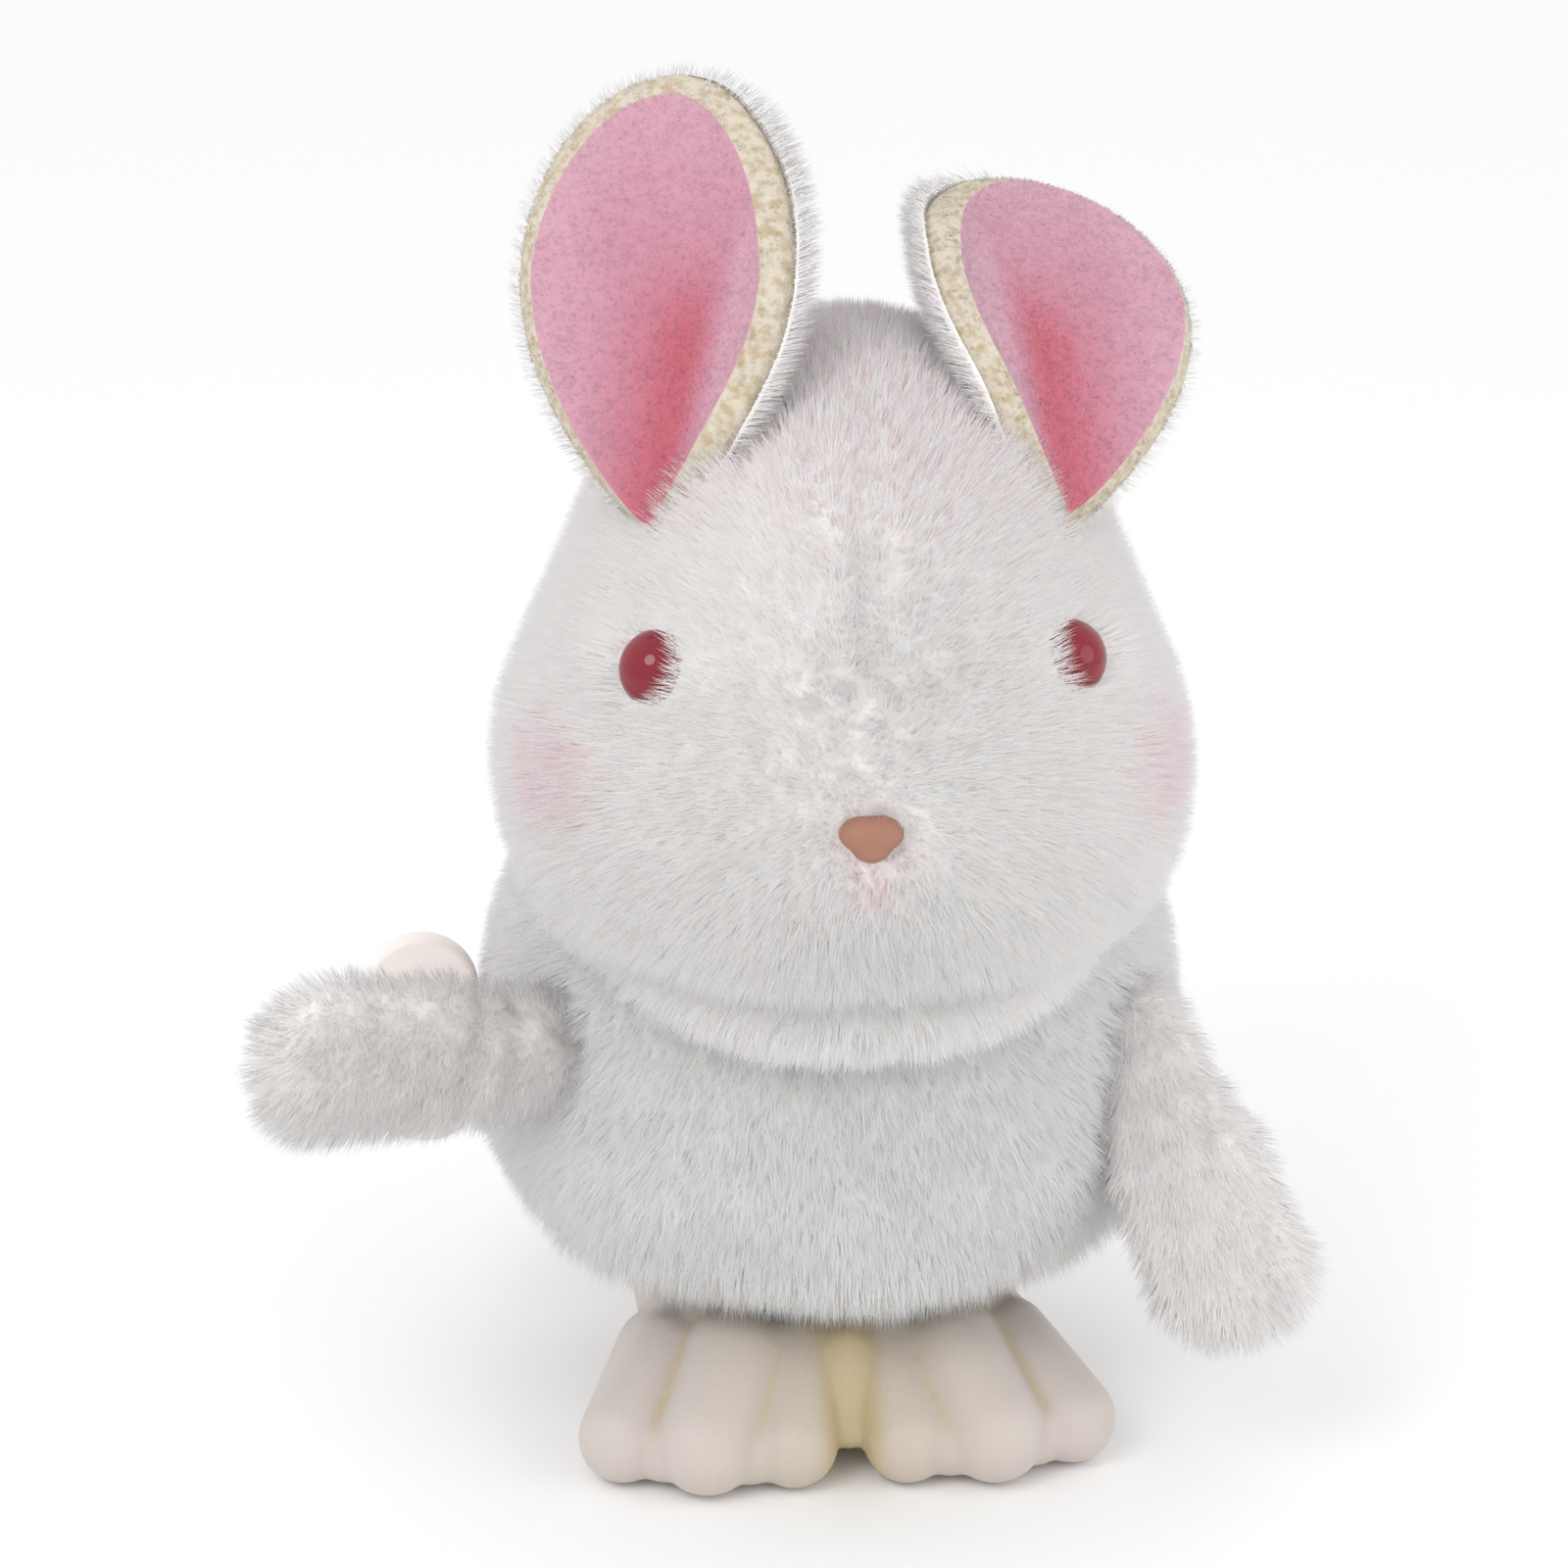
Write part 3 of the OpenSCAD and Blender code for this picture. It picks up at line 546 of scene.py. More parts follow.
def head_look(p, n, rng):
    """Combed away from the nose; tousled up the middle of the face, smooth on the cheeks"""
    away = unit(p - (NOSE + mm(0, 6, 0)))
    middle = np.exp(-(p[:, 0] / (10 * MM)) ** 2) * (p[:, 1] < 5 * MM)
    chin = 1 - smooth(NOSE[2] - 14 * MM, NOSE[2] - 2 * MM, p[:, 2])
    part = np.sign(p[:, :1]) * X_AXIS * (seam_share(p)[:, None] * 0.8)
    swirl = np.cross(n, UP) * np.sin(p[:, 2] * 260 + p[:, 0] * 180)[:, None] * 0.35
    flow = away - UP * (0.25 + 0.4 * chin)[:, None] + part + swirl * middle[:, None]
    eyes = sum(near(p, mirrored(EYE, side), 10 * MM) for side in SIDES)
    nose = near(p, NOSE, 8 * MM)
    ruff = 1 - smooth(CREASE_Z - 5 * MM, CREASE_Z - 1 * MM, p[:, 2])
    length = (3.5 - 0.1 * middle + 0.5 * chin + 1.3 * ruff) * MM
    beside = smooth(EYE[0] + 1 * MM, EYE[0] + 4 * MM, np.abs(p[:, 0]))
    length *= 1 - (0.15 - 0.4 * beside) * eyes - 0.4 * nose
    length *= 1 - 0.2 * np.maximum(seam_share(p), tuck_share(p))
    blush = sum(near(p, mirrored(BLUSH, side), mm(11, 14, 9)) for side in SIDES)
    under_nose = near(p, NOSE - mm(0, 0, 4), mm(3.5, 8, 3.5))
    pink = np.clip(nose * 0.5 + under_nose + blush, 0, 0.95)
    cool = 0.12 + 0.2 * middle + 0.1 * chin
    top = smooth(CROWN - 26 * MM, CROWN - 8 * MM, p[:, 2])
    pink = np.maximum(pink, 0.32 * top)
    shade = pick_shade(rng, np.full(len(p), 0.3), cool * (1 - pink), 0.06, pink * 0.55, pink * 0.3)
    loose = np.maximum(middle, 0.6 * chin)
    return {"length": length, "flow": flow, "lean": 0.3 + 0.3 * ruff, "mess": 0.12 + 0.12 * loose,
            "pull": 0.06 + 0.32 * loose, "shade": shade}


def body_look(p, n, rng):
    """Pile that hangs down and a little out"""
    flow = unit(p - BODY_MIDDLE) * 0.2 - UP
    hem = 1 - smooth(BODY_LOW[2], BODY_LOW[2] + 12 * MM, p[:, 2])
    cool = 0.4 + 0.3 * smooth(0, 20 * MM, -p[:, 1])
    shade = pick_shade(rng, np.full(len(p), 0.22), cool, 0.05, 0.02)
    front = smooth(0, 20 * MM, -p[:, 1])
    return {"length": (3.6 + 4.6 * hem) * MM, "flow": flow, "lean": 0.36 + 0.4 * hem,
            "mess": 0.13 + 0.05 * front, "pull": 0.12 + 0.2 * front, "shade": shade}


def tail_look(p, n, rng):
    flow = unit(p - TAIL) - UP * 0.4
    shade = pick_shade(rng, np.full(len(p), 0.4), 0.2, 0.05)
    return {"length": 3.8 * MM, "flow": flow, "lean": 0.2, "mess": 0.16, "pull": 0.15, "shade": shade}


def make_head(linings):
    """The head, with its fur parted where it would grow through the ears"""
    trees = [BVHTree.FromObject(lining, bpy.context.evaluated_depsgraph_get()) for lining in linings]

    def in_ears(p):
        near_ear = (np.abs(p[:, 0]) > 6 * MM) & (p[:, 2] > CROWN - 32 * MM) & (p[:, 1] < 8 * MM)
        hit = np.zeros(len(p), dtype=bool)
        for i in np.flatnonzero(near_ear):
            hit[i] = any(tree.find_nearest(p[i], EAR_PART)[0] is not None for tree in trees)
        return hit

    skin = skin_of("head_skin", HEAD_MIDDLE, HEAD_FORMS, head_dent, "toy_body")
    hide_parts("head_plush", "head_stuffing")
    fur = grow_fur("head_fur", skin, "toy_body", head_look, FUR_SHADES, 18, 0.1 * MM, 11,
                   keep=lambda p: ~(inside(p, BODY_FORMS, 0.5 * MM) | eye_gap(p) | nose_gap(p) | in_ears(p)))


def make_body():
    skin = skin_of("body_skin", BODY_MIDDLE, BODY_FORMS, lambda p: 0.6 * MM * waves(p, 150, 130, 210),
                   "toy_body")
    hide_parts("body_plush", "body_padding")
    fur = grow_fur("body_fur", skin, "toy_body", body_look, FUR_SHADES, 14, 0.11 * MM, 12,
                   keep=lambda p: ~inside(p, HEAD_FORMS, -0.5 * MM) & (p[:, 2] > BODY_LOW[2] + 0.6 * MM))


def make_tail():
    skin = skin_of("tail_skin", TAIL, [(TAIL, np.full(3, TAIL_R))],
                   lambda p: 0.3 * MM * waves(p, 500, 500, 500), "toy_body", detail=4)
    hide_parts("tail")
    fur = grow_fur("tail_fur", skin, "toy_body", tail_look, FUR_SHADES, 15, 0.12 * MM, 13,
                   keep=lambda p: ~inside(p, BODY_FORMS))


# ---------------------------------------------------------------- arms

def turned(x_deg=0.0, y_deg=0.0, z_deg=0.0):
    """Rotation about X, then Y, then Z"""
    about_x, about_y, about_z = (Matrix.Rotation(math.radians(angle), 3, axis)
                                 for angle, axis in ((x_deg, "X"), (y_deg, "Y"), (z_deg, "Z")))
    return np.array(about_z @ about_y @ about_x)


def make_arm(name, side, lift_deg, turn_deg, seed):
    """An arm made along +X from its shoulder, then laid at the lift that it has at rest"""
    body = f"{name}_arm"
    shoulder = np.array(JOINTS[f"{name}_shoulder"]["pos_m"])
    root, middle, paw = ((mm(x, 0, z), mm(*radii) - ARM_INSET) for x, z, radii in ARM_FORMS)
    forms = steps_between(root, middle, 4) + steps_between(middle, paw, 4)[1:]
    lay = np.diag([side, 1, 1]) @ turned(y_deg=-lift_deg) @ turned(z_deg=turn_deg)
    along, broad = lay @ X_AXIS, lay @ UP
    directions, faces = icosphere(5)
    away = reach(ARM_MIDDLE, directions, forms)
    local = ARM_MIDDLE + directions * away[:, None]
    rim = smooth(0.55, 0.95, np.abs(unit(local - ARM_MIDDLE)[:, 2]))
    local -= directions * (0.35 * MM * waves(local, 420, 300, 380) - 0.4 * MM * rim)[:, None]
    order = -1 if side < 0 else 1
    faces = [f[::order] for f in faces]
    skin = new_piece(f"arm_{name}_skin", local @ lay.T + shoulder, faces, [skin_cloth], body)
    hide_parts(f"arm_{name}", f"arm_stuffing_{name}")

    def look(p, n, rng):
        """Combed down the arm, with a loose fringe round the sewn rim and at the paw"""
        q = (p - shoulder) @ lay
        edge = smooth(0.35, 0.9, np.abs((n @ lay)[:, 2]))
        tip = smooth(ARM_END - 12 * MM, ARM_END - 1 * MM, q[:, 0])
        sides = np.sign(q[:, 2])[:, None] * broad
        flow = along * (1.0 - 0.2 * tip[:, None]) + sides * edge[:, None] * 0.5 - UP * 0.35
        curl = np.sin(q[:, 2] * 700)[:, None] * broad * 0.5
        loose = np.maximum(edge, tip)
        length = (3.2 + 0.6 * edge + 1.2 * tip) * MM
        warm = 0.1 + 0.1 * tip
        shade = pick_shade(rng, np.full(len(p), 0.5), 0.02, warm * 0.6, 0.05)
        return {"length": length, "flow": flow + curl * tip[:, None], "lean": 0.45,
                "mess": 0.12 + 0.1 * loose, "pull": 0.1 + 0.25 * loose, "shade": shade, "soft": 0.3}

    fur = grow_fur(f"arm_{name}_fur", skin, body, look, FUR_SHADES, 14, 0.11 * MM, seed,
                   keep=lambda p: ~inside(p, BODY_FORMS, -1.0 * MM))


# ---------------------------------------------------------------- ears

def leaf_margin(turn, inset, inner):
    """Outline of one ear laid flat, from the middle of its leaf: (across, up). across > 0 is towards the
    crown, and inner is how wide that side is, as a share of the outer one"""
    c, s = np.cos(turn), np.sin(turn)
    hw, low, high = EAR_HALF_W * np.where(c > 0, inner, 1) - inset, EAR_WIDE - inset, EAR_H - EAR_WIDE - inset
    across, up = hw * c, high * s
    t = np.clip(-s, 0, 1)
    taper = np.where(c > 0, INNER_TAPER, 0.8)
    lower = s < 0
    width = hw * np.sin(np.pi / 2 * (1 - t)) ** taper * np.sign(c)
    across = np.where(lower, width, across)
    up = np.where(lower, -low * t, up)
    return across, EAR_WIDE + up


def ear_depth(across, up, inner):
    """How far the leaf comes forward: a gentle curl on its outer side, a close one next to the crown"""
    outer = 2.6 * MM * (np.clip(-across, 0, None) / EAR_HALF_W) ** 2
    t = np.clip(up / EAR_WIDE, 0.02, 1)
    rise = np.clip((up - EAR_WIDE) / (EAR_H - EAR_WIDE), 0, 0.98)
    share = np.where(up < EAR_WIDE, np.sin(np.pi / 2 * t) ** INNER_TAPER, np.sqrt(1 - rise**2))
    margin = EAR_HALF_W * inner * share
    m = np.clip((across / margin - 0.3) / 0.7, 0, 0.97)
    close = 7.0 * MM * (1 - 0.8 * smooth(0.55 * EAR_H, 0.95 * EAR_H, up)) * smooth(0, 0.3 * EAR_H, up)
    return outer + close * (1 - np.sqrt(1 - m * m))


class Ear:
    """One ear: its pieces are made flat and standing on the tip, then carried to the head"""

    def __init__(self, name, side, tilt, turn, lean, arch, inner):
        self.name, self.side, self.arch, self.inner = name, side, arch, inner
        self.lay = turned(x_deg=-tilt, y_deg=side * lean) @ turned(z_deg=side * turn)
        low, high = (np.array(c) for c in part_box(f"ear_back_{name}"))
        probe = self.stand(*self.cad_leaf())
        self.tip = (low + high) / 2 - (probe.min(axis=0) + probe.max(axis=0)) / 2

    def cad_leaf(self):
        """Outside of the plain CAD ear, to find where its tip stands"""
        turn = np.linspace(0, 2 * np.pi, 400)
        lower = np.sin(turn) < 0
        share = np.clip(1 + np.where(lower, np.sin(turn), 0), 0, 1)
        width = np.where(lower, np.sin(np.pi / 2 * share) ** 0.8 * np.sign(np.cos(turn)), np.cos(turn))
        across = EAR_HALF_W * width
        up = np.where(lower, EAR_WIDE * share, EAR_WIDE + (EAR_H - EAR_WIDE) * np.sin(turn))
        both = [np.sqrt((EAR_CURL_R + t) ** 2 - across**2) - EAR_CURL_R for t in (0.8 * MM, 3.2 * MM)]
        spine = np.linspace(0, EAR_H, 50)
        x = np.concatenate([across, across, 0 * spine])
        y = np.concatenate([both[0], both[1], 0 * spine + 3.2 * MM])
        return x, y, np.concatenate([up, up, spine])

    def stand(self, x, y, z):
        return np.stack([x, y, z], axis=-1) @ self.lay.T

    def place(self, local):
        """Carries made points to the head, arched forward between the tip and the top"""
        t = np.clip(local[:, 2] / EAR_H, 0, 1)
        arched = local - Y_AXIS * (4 * self.arch * t * (1 - t))[:, None]
        return arched @ self.lay.T + self.tip

    def local(self, points):
        return (points - self.tip) @ self.lay

    def sheet(self, share, turn, offset):
        """Points of the leaf at a share of the way out to its lining's margin, offset to the back"""
        inset = self.rim_width(turn)
        across, up = leaf_margin(turn, inset, self.inner)
        middle = EAR_WIDE * 0.9
        a, h = across * share, middle + (up - middle) * share
        eps = 0.05 * MM
        d, d_out, d_up = (ear_depth(x, z, self.inner) for x, z in ((a, h), (a + eps, h), (a, h + eps)))
        slope = np.stack([(d_out - d) / eps, np.ones_like(a), (d_up - d) / eps], -1)
        points = np.stack([-self.side * a, -d, h], axis=-1)
        slope[:, 0] *= -self.side
        return points + unit(slope) * offset

    def rim_width(self, turn):
        """How much of the thick edge shows outside the lining, by where on the margin"""
        top = np.clip(np.sin(turn), 0, 1)
        inner = np.clip(np.cos(turn), 0, 1)
        return (0.7 + 1.6 * top + 0.7 * inner) * MM

    def ring(self, share, offset, spread=0.0, roll=0.0):
        """One closed ring of points. spread pushes it outward in the leaf, and roll does next to the crown"""
        turn = np.linspace(0, 2 * np.pi, EAR_SEGMENTS, endpoint=False) + np.pi / EAR_SEGMENTS
        points = self.sheet(share, turn, offset)
        if spread:
            outward = unit(self.sheet(share + 0.02, turn, offset) - self.sheet(share - 0.02, turn, offset))
            crownward = np.clip(np.cos(turn), 0, 1) ** 0.5 * (1 - 0.6 * np.clip(np.sin(turn), 0, 1))
            points = points + outward * (self.rim_width(turn) * (spread + roll * crownward))[:, None]
        return points

    def mesh(self, name, rings, cap, material):
        """A surface through a stack of rings, closed with a fan at the first one where cap is set"""
        verts = np.concatenate(rings)
        n = EAR_SEGMENTS
        faces = []
        for i in range(len(rings) - 1):
            for k in range(n):
                faces.append([i * n + k, i * n + (k + 1) % n, (i + 1) * n + (k + 1) % n, (i + 1) * n + k])
        if cap:
            verts = np.concatenate([verts, rings[0].mean(axis=0)[None]])
            faces += [[len(verts) - 1, (k + 1) % n, k] for k in range(n)]
        if self.side < 0:
            faces = [f[::-1] for f in faces]
        return new_piece(name, self.place(verts), faces, [material], "toy_body")

    def lining(self):
        rings = [self.ring(share, 0.0) for share in np.linspace(0.06, 1, 18)]
        piece = self.mesh(f"ear_lining_{self.name}_velour", rings, True, ear_velour)
        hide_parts(f"ear_lining_{self.name}")
        # painted shade deep in the fold and painted light at the top and edges, stored for the velour's ramp
        deep, pale = self.fold_shade_and_edge_light(points_of(piece.data))
        paint(piece.data, np.clip(0.35 + 0.65 * deep - 0.35 * pale, 0, 1))
        return piece

    def band(self):
        """The thick raw edge, rounded from the lining's margin to the plush"""
        turns = np.linspace(0, 1, 7)
        rings = [self.ring(1.0, EAR_EDGE * t, 0.001 + math.sin(t * 1.9) / math.sin(1.9)) for t in turns]
        piece = self.mesh(f"ear_edge_{self.name}", rings, False, ear_felt)
        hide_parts(f"ear_band_{self.name}")
        return piece

    def back(self):
        """The plush behind, which is rolled a little round the edge next to the crown"""
        plump = 1.6 * MM
        rings = [self.ring(share, EAR_EDGE + plump * (1 - share**4)) for share in np.linspace(0.06, 0.96, 12)]
        rolls = ((1.0, 0.25), (0.92, 0.6), (0.8, 0.7))
        rings += [self.ring(1.0, EAR_EDGE * t, 1.0, roll) for t, roll in rolls]
        piece = self.mesh(f"ear_back_{self.name}_skin", rings, True, skin_cloth)
        piece.data.flip_normals()
        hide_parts(f"ear_back_{self.name}")
        return piece

    def fold_shade_and_edge_light(self, points):
        """How much painted shade and painted light the lining takes: painted shade deepest low in the fold,
        painted light palest at the top and both edges
        """
        q = self.local(points)
        across, up = -self.side * q[:, 0] / EAR_HALF_W, q[:, 2] / EAR_H
        from_fold = across - 0.5 * up
        width = np.where(from_fold < 0, 0.4, 0.16)
        # deep is painted shade in the fold; pale is painted light on the lip beside it, at the top and at
        # both edges
        deep = np.exp(-(from_fold / width) ** 2) * (1 - smooth(0.4, 0.68, up))
        lip = smooth(0.14, 0.3, from_fold) * (1 - smooth(0.6, 0.8, up))
        pale = np.clip(smooth(0.2, 0.9, -across) + smooth(0.6, 1.0, up) + lip, 0, 1)
        return deep, pale

    def lining_look(self, p, n, rng):
        """Brushed velour; its shades carry painted shade in the fold and painted light at the top and edges
        """
        deep, pale = self.fold_shade_and_edge_light(p)
        shade = pick_shade(rng, (1 - pale) * (1 - deep) * 0.6, deep * 0.5, deep * 0.4)
        up_leaf = self.lay @ UP + 0 * n
        return {"length": 0.75 * MM, "flow": up_leaf, "lean": 0.4, "mess": 0.25, "pull": 0.08, "shade": shade}

    def band_look(self, p, n, rng):
        inner = smooth(0, 6 * MM, -self.side * self.local(p)[:, 0])
        shade = pick_shade(rng, np.full(len(p), 0.35), 0.1 + 0.12 * inner)
        return {"length": 0.7 * MM, "flow": n, "lean": 0.2, "mess": 0.7, "pull": 0.5, "shade": shade,
                "small_tuft": 5}

    def back_look(self, p, n, rng):
        q = self.local(p)
        crownward = smooth(0, 9 * MM, -self.side * q[:, 0])
        flow = self.lay @ UP - self.side * (self.lay @ X_AXIS) * crownward[:, None] * 1.6
        shade = pick_shade(rng, np.full(len(p), 0.4), 0.05, 0.05, 0.05)
        return {"length": (1.9 + 1.0 * crownward) * MM, "flow": flow, "lean": 0.3, "mess": 0.13,
                "pull": 0.12, "shade": shade, "soft": 0.3}

    def make(self, seed):
        """Builds every piece of the ear and returns its lining"""
        lining = self.lining()
        fuzz = grow_fur(f"ear_lining_{self.name}_pile", lining, "toy_body", self.lining_look,
                        [VELOUR[k] for k in ("pale", "pink", "deep", "rose")], 13, 0.13 * MM, seed)
        frizz = grow_fur(f"ear_edge_{self.name}_frizz", self.band(), "toy_body", self.band_look,
                         [FELT[k] for k in ("cream", "pale", "gold")], 12, 0.14 * MM, seed + 1)
        fur = grow_fur(f"ear_back_{self.name}_fur", self.back(), "toy_body", self.back_look, FUR_SHADES, 15,
                       0.11 * MM, seed + 2)
        return lining


# ---------------------------------------------------------------- face, feet and key

def make_nose():
    """A soft-cornered triangle, moulded in one piece"""
    forms = [(NOSE + mm(side * 1.2, 0, 0.6), mm(1.9, 2.0, 1.5)) for side in SIDES]
    forms += [(NOSE + mm(0, -0.1, 0.6), mm(2.0, 2.0, 1.55)), (NOSE + mm(0, -0.1, -0.7), mm(1.9, 2.0, 1.5))]
    directions, faces = icosphere(5)
    points = NOSE + directions * reach(NOSE, directions, forms, sharp=7)[:, None]
    piece = new_piece("nose_moulding", points, faces, [nose_plastic], "toy_body")
    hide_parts("nose")


def hull_of(bm, spheres):
    """Adds the rounded hull of several spheres, each (centre, radius), to a bmesh"""
    directions, _ = icosphere(3)
    verts = [bm.verts.new(centre + d * radius) for centre, radius in spheres for d in directions]
    result = bmesh.ops.convex_hull(bm, input=verts)
    spare = {g for g in result["geom_interior"] if isinstance(g, bmesh.types.BMVert)}
    bmesh.ops.delete(bm, geom=list(spare), context="VERTS")


def foot_shapes(side):
    """(centre, radius) lists of one foot: three toes and the instep behind them"""
    outer = FEET_W / 2 - 5
    toes = ((6.2, 4.9, -0.6, 15.7), (15.6, 5.7, -2.0, 16.9), (outer, 5.0, 2.0, 14.8))
    for x, r, back, top in toes:
        yield [(mm(side * x * 0.76, TOE_Y + back + 14, top - r), r * MM),
               (mm(side * x, TOE_Y + back + r, r - 0.2), r * MM),
               (mm(side * x * 0.8, -2, r - 0.2), r * MM)]
    for (x1, _, back1, top1), (x2, _, back2, top2) in zip(toes, toes[1:]):
        x, back, r = (x1 + x2) / 2, (back1 + back2) / 2, 4.0
        yield [(mm(side * x * 0.76, TOE_Y + back + 14, min(top1, top2) - r - 0.3), r * MM),
               (mm(side * x, TOE_Y + back + r + 1.6, r + 0.3), r * MM), (mm(side * x * 0.8, -2, r), r * MM)]
    yield [(mm(side * 12.5, -8, 8.5), 9 * MM), (mm(side * 12, 4, 8), 9.5 * MM),
           (mm(side * 13, HEEL_Y - 9, 6.5), 9 * MM)]


def make_feet():
    """Both feet, cast in one piece with a web between the inner toes"""
    bm = bmesh.new()
    for side in SIDES:
        for shape in foot_shapes(side):
            hull_of(bm, shape)
    hull_of(bm, [(mm(0, -7, 7), 7 * MM), (mm(0, HEEL_Y - 9, 6.5), 7 * MM)])
    hull_of(bm, [(mm(0, -22, 4.6), 1.7 * MM), (mm(0, -17, 13), 2.6 * MM),
                 (mm(0, -9, 13), 3 * MM), (mm(0, -9, 4.6), 3 * MM)])
    mesh = bpy.data.meshes.new("feet_moulding")
    bm.to_mesh(mesh)
    bm.free()
    piece = finish_piece("feet_moulding", mesh, [feet_vinyl], "feet_set")
    remesh = piece.modifiers.new("remesh", "REMESH")
    remesh.mode = "VOXEL"
    remesh.voxel_size = 0.5 * MM
    remesh.use_smooth_shade = True
    ease = piece.modifiers.new("ease", "SMOOTH")
    ease.factor = 0.5
    ease.iterations = 7
    apply_modifiers(piece)
    mesh = piece.data
    co = points_of(mesh)
    co[:, 2] = np.maximum(co[:, 2], FOOT_LOW[2])
    mesh.vertices.foreach_set("co", co.ravel())
    # painted shade, darker and yellower, in the grooves and in the hollow between the inner toes
    inner = np.exp(-(co[:, 0] / (3 * MM)) ** 4) + 0.4 * np.exp(-(co[:, 0] / (11 * MM)) ** 2)
    paint(mesh, np.maximum(hollow_share(mesh, co), np.minimum(inner, 1)))
    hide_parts("feet")


def hollow_share(mesh, co, rounds=30):
    """How far each vertex lies in a groove, from 0 to 1"""
    edges = np.empty(len(mesh.edges) * 2, dtype=np.int64)
    mesh.edges.foreach_get("vertices", edges)
    edges = edges.reshape(-1, 2)
    count = np.bincount(edges.ravel(), minlength=len(co))[:, None]
    eased = co.copy()
    for _ in range(rounds):
        total = np.zeros_like(eased)
        np.add.at(total, edges[:, 0], eased[edges[:, 1]])
        np.add.at(total, edges[:, 1], eased[edges[:, 0]])
        eased += (total / np.maximum(count, 1) - eased) * 0.6
    rise = ((eased - co) * normals_of(mesh)).sum(-1)
    return smooth(0.02 * MM, 0.55 * MM, rise)


def paint(mesh, values):
    """Stores a value for each vertex that a material reads as painted light and shade"""
    store = mesh.attributes.new("painted_shading", "FLOAT", "POINT")
    store.data.foreach_set("value", values.astype(np.float32))


def make_key():
    """Butterfly key: two round lobes with a waist, on a round hub"""
    axis_y, axis_z = KEY_MIDDLE[1], KEY_MIDDLE[2]
    outline = []
    for k in range(72):
        turn = 2 * math.pi * k / 72
        r = ((2 * KEY_LOBE_R * abs(math.sin(turn))) ** 4 + KEY_WAIST**4) ** 0.25
        outline.append((math.cos(turn) * r, math.sin(turn) * r))
    bm = bmesh.new()
    face = bm.faces.new([bm.verts.new((KEY_WING_X + a, axis_y - KEY_T / 2, axis_z + b)) for a, b in outline])
    side_wall = bmesh.ops.extrude_face_region(bm, geom=[face])
    moved = [g for g in side_wall["geom"] if isinstance(g, bmesh.types.BMVert)]
    bmesh.ops.translate(bm, vec=(0, KEY_T, 0), verts=moved)
    hub = Matrix.Translation((sum(KEY_HUB_X) / 2, axis_y, axis_z)) @ Matrix.Rotation(math.pi / 2, 4, "Y")
    bmesh.ops.create_cone(bm, cap_ends=True, segments=48, radius1=KEY_HUB_R, radius2=KEY_HUB_R,
                          depth=KEY_HUB_X[1] - KEY_HUB_X[0], matrix=hub)
    bmesh.ops.recalc_face_normals(bm, faces=bm.faces)
    mesh = bpy.data.meshes.new("key_moulding")
    bm.to_mesh(mesh)
    bm.free()
    piece = finish_piece("key_moulding", mesh, [key_plastic], "winding_key")
    bevel = piece.modifiers.new("bevel", "BEVEL")
    bevel.width = 0.7 * MM
    bevel.segments = 4
    bevel.angle_limit = math.radians(50)
    bevel.harden_normals = True
    apply_modifiers(piece)
    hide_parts("key")


# ---------------------------------------------------------------- the CAD pieces that show or stay inside

def finish_works():
    """Gives every piece of the clockwork its metal or plastic"""
    finishes = {
        eye_glass: ("eye_right", "eye_left"),
        washer_nylon: ("eye_washer_right", "eye_washer_left", "nose_washer"),
        casing_plastic: ("casing_left", "casing_right", "base_plate"),
        brass: ("great_wheel", "second_wheel", "third_wheel", "crank", "ratchet_wheel", "click"),
        bright_steel: ("key_arbor", "casing_screws", "foot_screws", "foot_pin", "foot_lever"),
        spring_steel: ("mainspring", "click_spring", "foot_spring"),
    }
    for mat, names in finishes.items():
        for name in names:
            mesh = frame["nodes"][name].data
            mesh.materials.clear()
            mesh.materials.append(mat)


# ---------------------------------------------------------------- studio

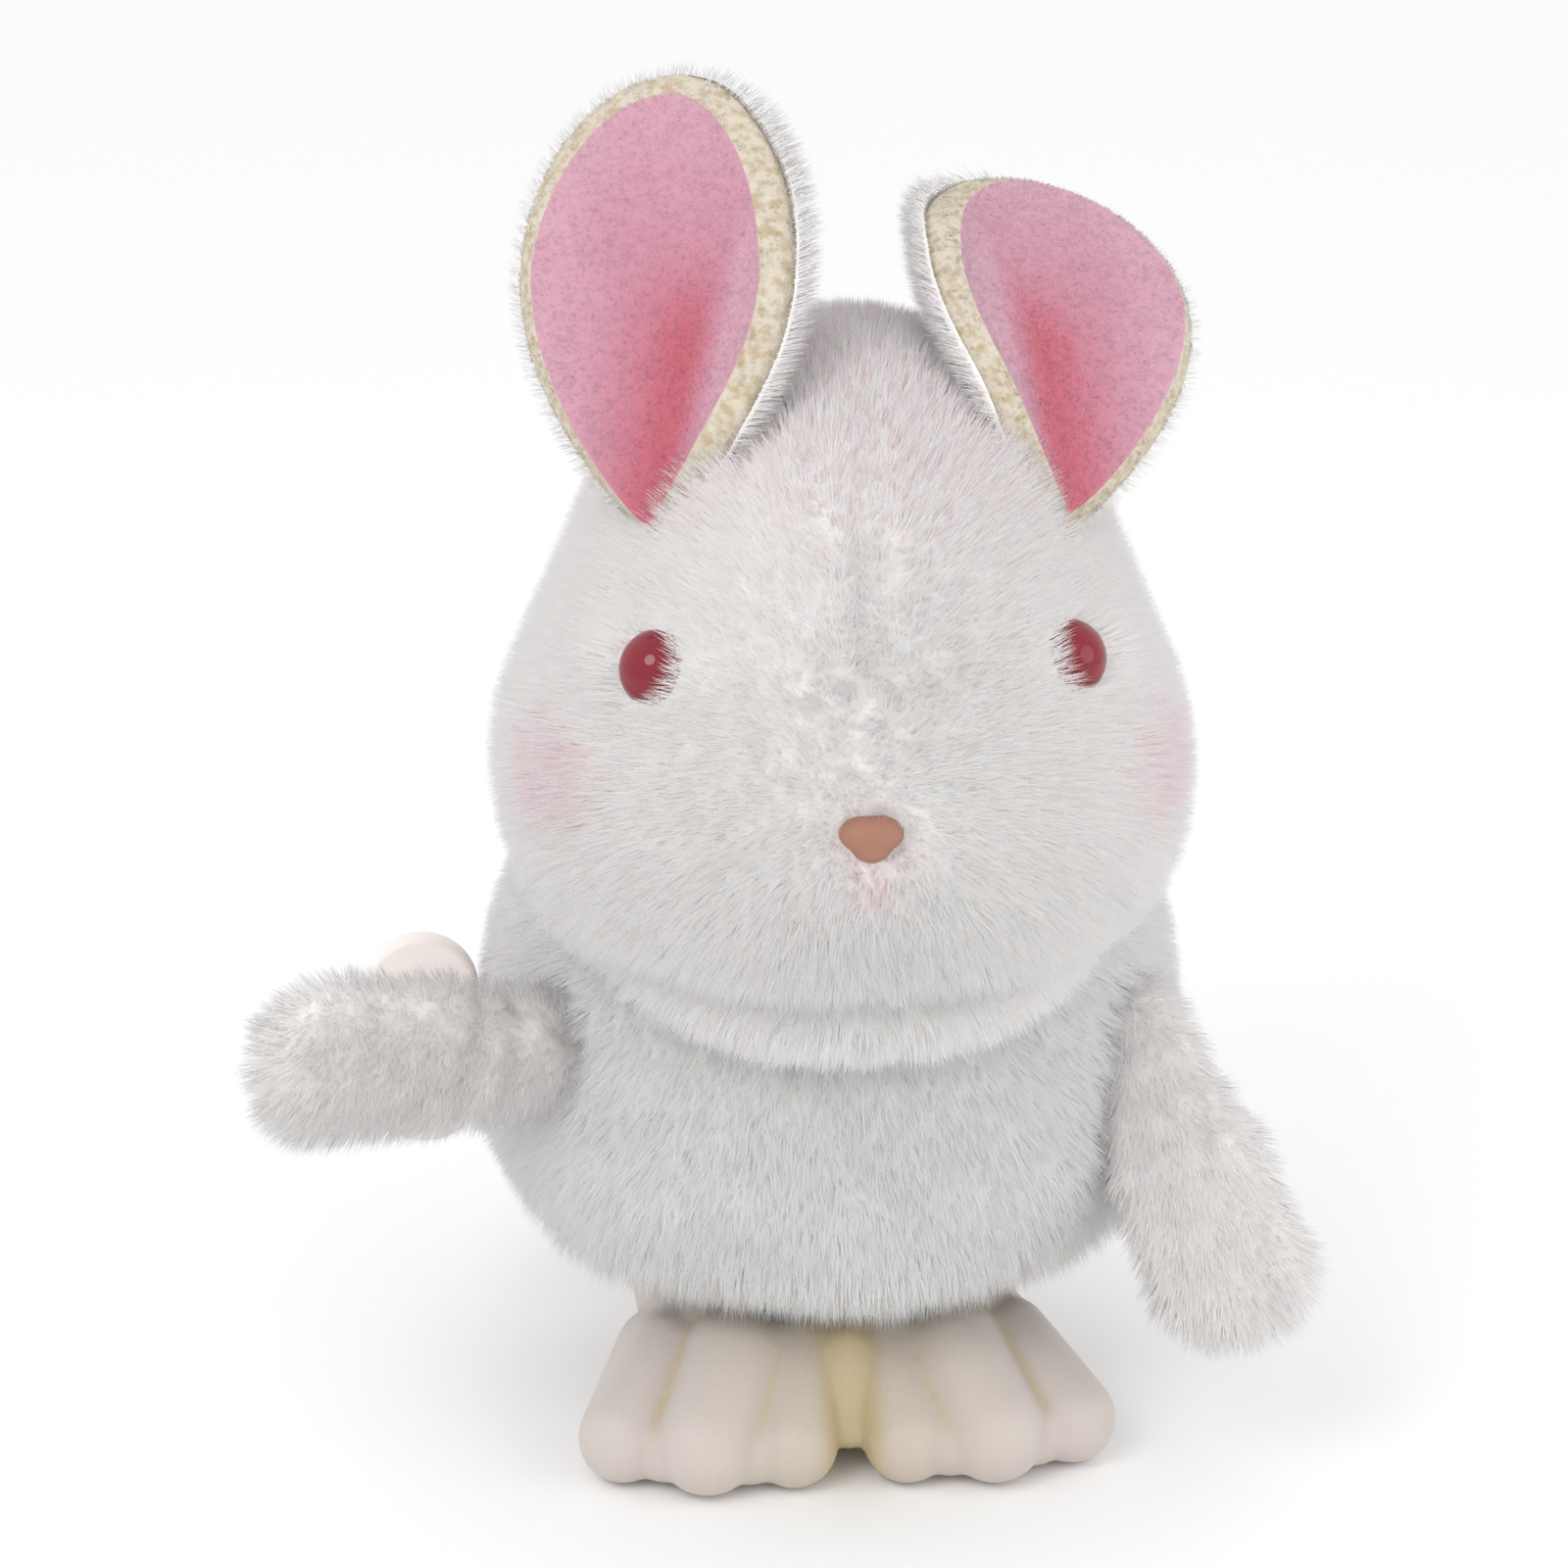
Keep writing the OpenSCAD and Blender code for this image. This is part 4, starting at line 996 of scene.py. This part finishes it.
def area_light(name, place, target, size, power, colour=(1, 1, 1)):
    data = bpy.data.lights.new(name, "AREA")
    data.shape = "DISK"
    data.size = size
    data.energy = power
    data.color = colour
    lamp = bpy.data.objects.new(name, data)
    lamp.location = place
    lamp.rotation_euler = (Vector(target) - Vector(place)).to_track_quat("-Z", "Y").to_euler()
    bpy.context.scene.collection.objects.link(lamp)


def make_studio():
    scene = bpy.context.scene
    middle = Vector((0, 0, TOP[2] * 0.5))
    span = TOP[2]
    bpy.ops.mesh.primitive_plane_add(size=40 * span, location=(0, 0, LOW[2]))
    floor = bpy.context.object
    floor.name = "studio_floor"
    floor.data.materials.append(floor_paper)
    world = bpy.data.worlds.new("studio")
    world.use_nodes = True
    world.node_tree.nodes["Background"].inputs["Color"].default_value = (1, 1, 1, 1)
    world.node_tree.nodes["Background"].inputs["Strength"].default_value = 1.0
    scene.world = world
    area_light("key_light", middle + Vector((-1.6, -2.0, 2.2)) * span, middle, 1.6 * span, 0.55)
    area_light("fill_light", middle + Vector((2.4, -1.6, 1.0)) * span, middle, 2.2 * span, 0.3)
    scene.view_settings.view_transform = "Standard"


def make_camera():
    """Looks down a little at the face, from slightly to the toy's right"""
    target = np.array([-5.2 * MM, 0, 0.48 * TOP[2]])
    around, up = math.radians(-5), math.radians(20)
    back = np.array([math.sin(around) * math.cos(up), -math.cos(around) * math.cos(up), math.sin(up)])
    data = bpy.data.cameras.new("camera")
    data.lens = 85
    data.clip_start = 0.01
    camera = bpy.data.objects.new("camera", data)
    camera.location = target + back * 0.4
    camera.rotation_euler = Vector(-back).to_track_quat("-Z", "Y").to_euler()
    bpy.context.scene.collection.objects.link(camera)
    bpy.context.scene.camera = camera


right_lining = Ear("right", -1, 20, 16, -5, 0.5 * MM, 0.86).make(31)
left_lining = Ear("left", 1, 52, 14, 2, 4 * MM, 1.0).make(41)
make_head([right_lining, left_lining])
make_body()
make_tail()
make_arm("right", -1, 12, -28, 21)
make_arm("left", 1, -68, -28, 22)
make_nose()
make_feet()
make_key()
finish_works()
make_studio()
make_camera()
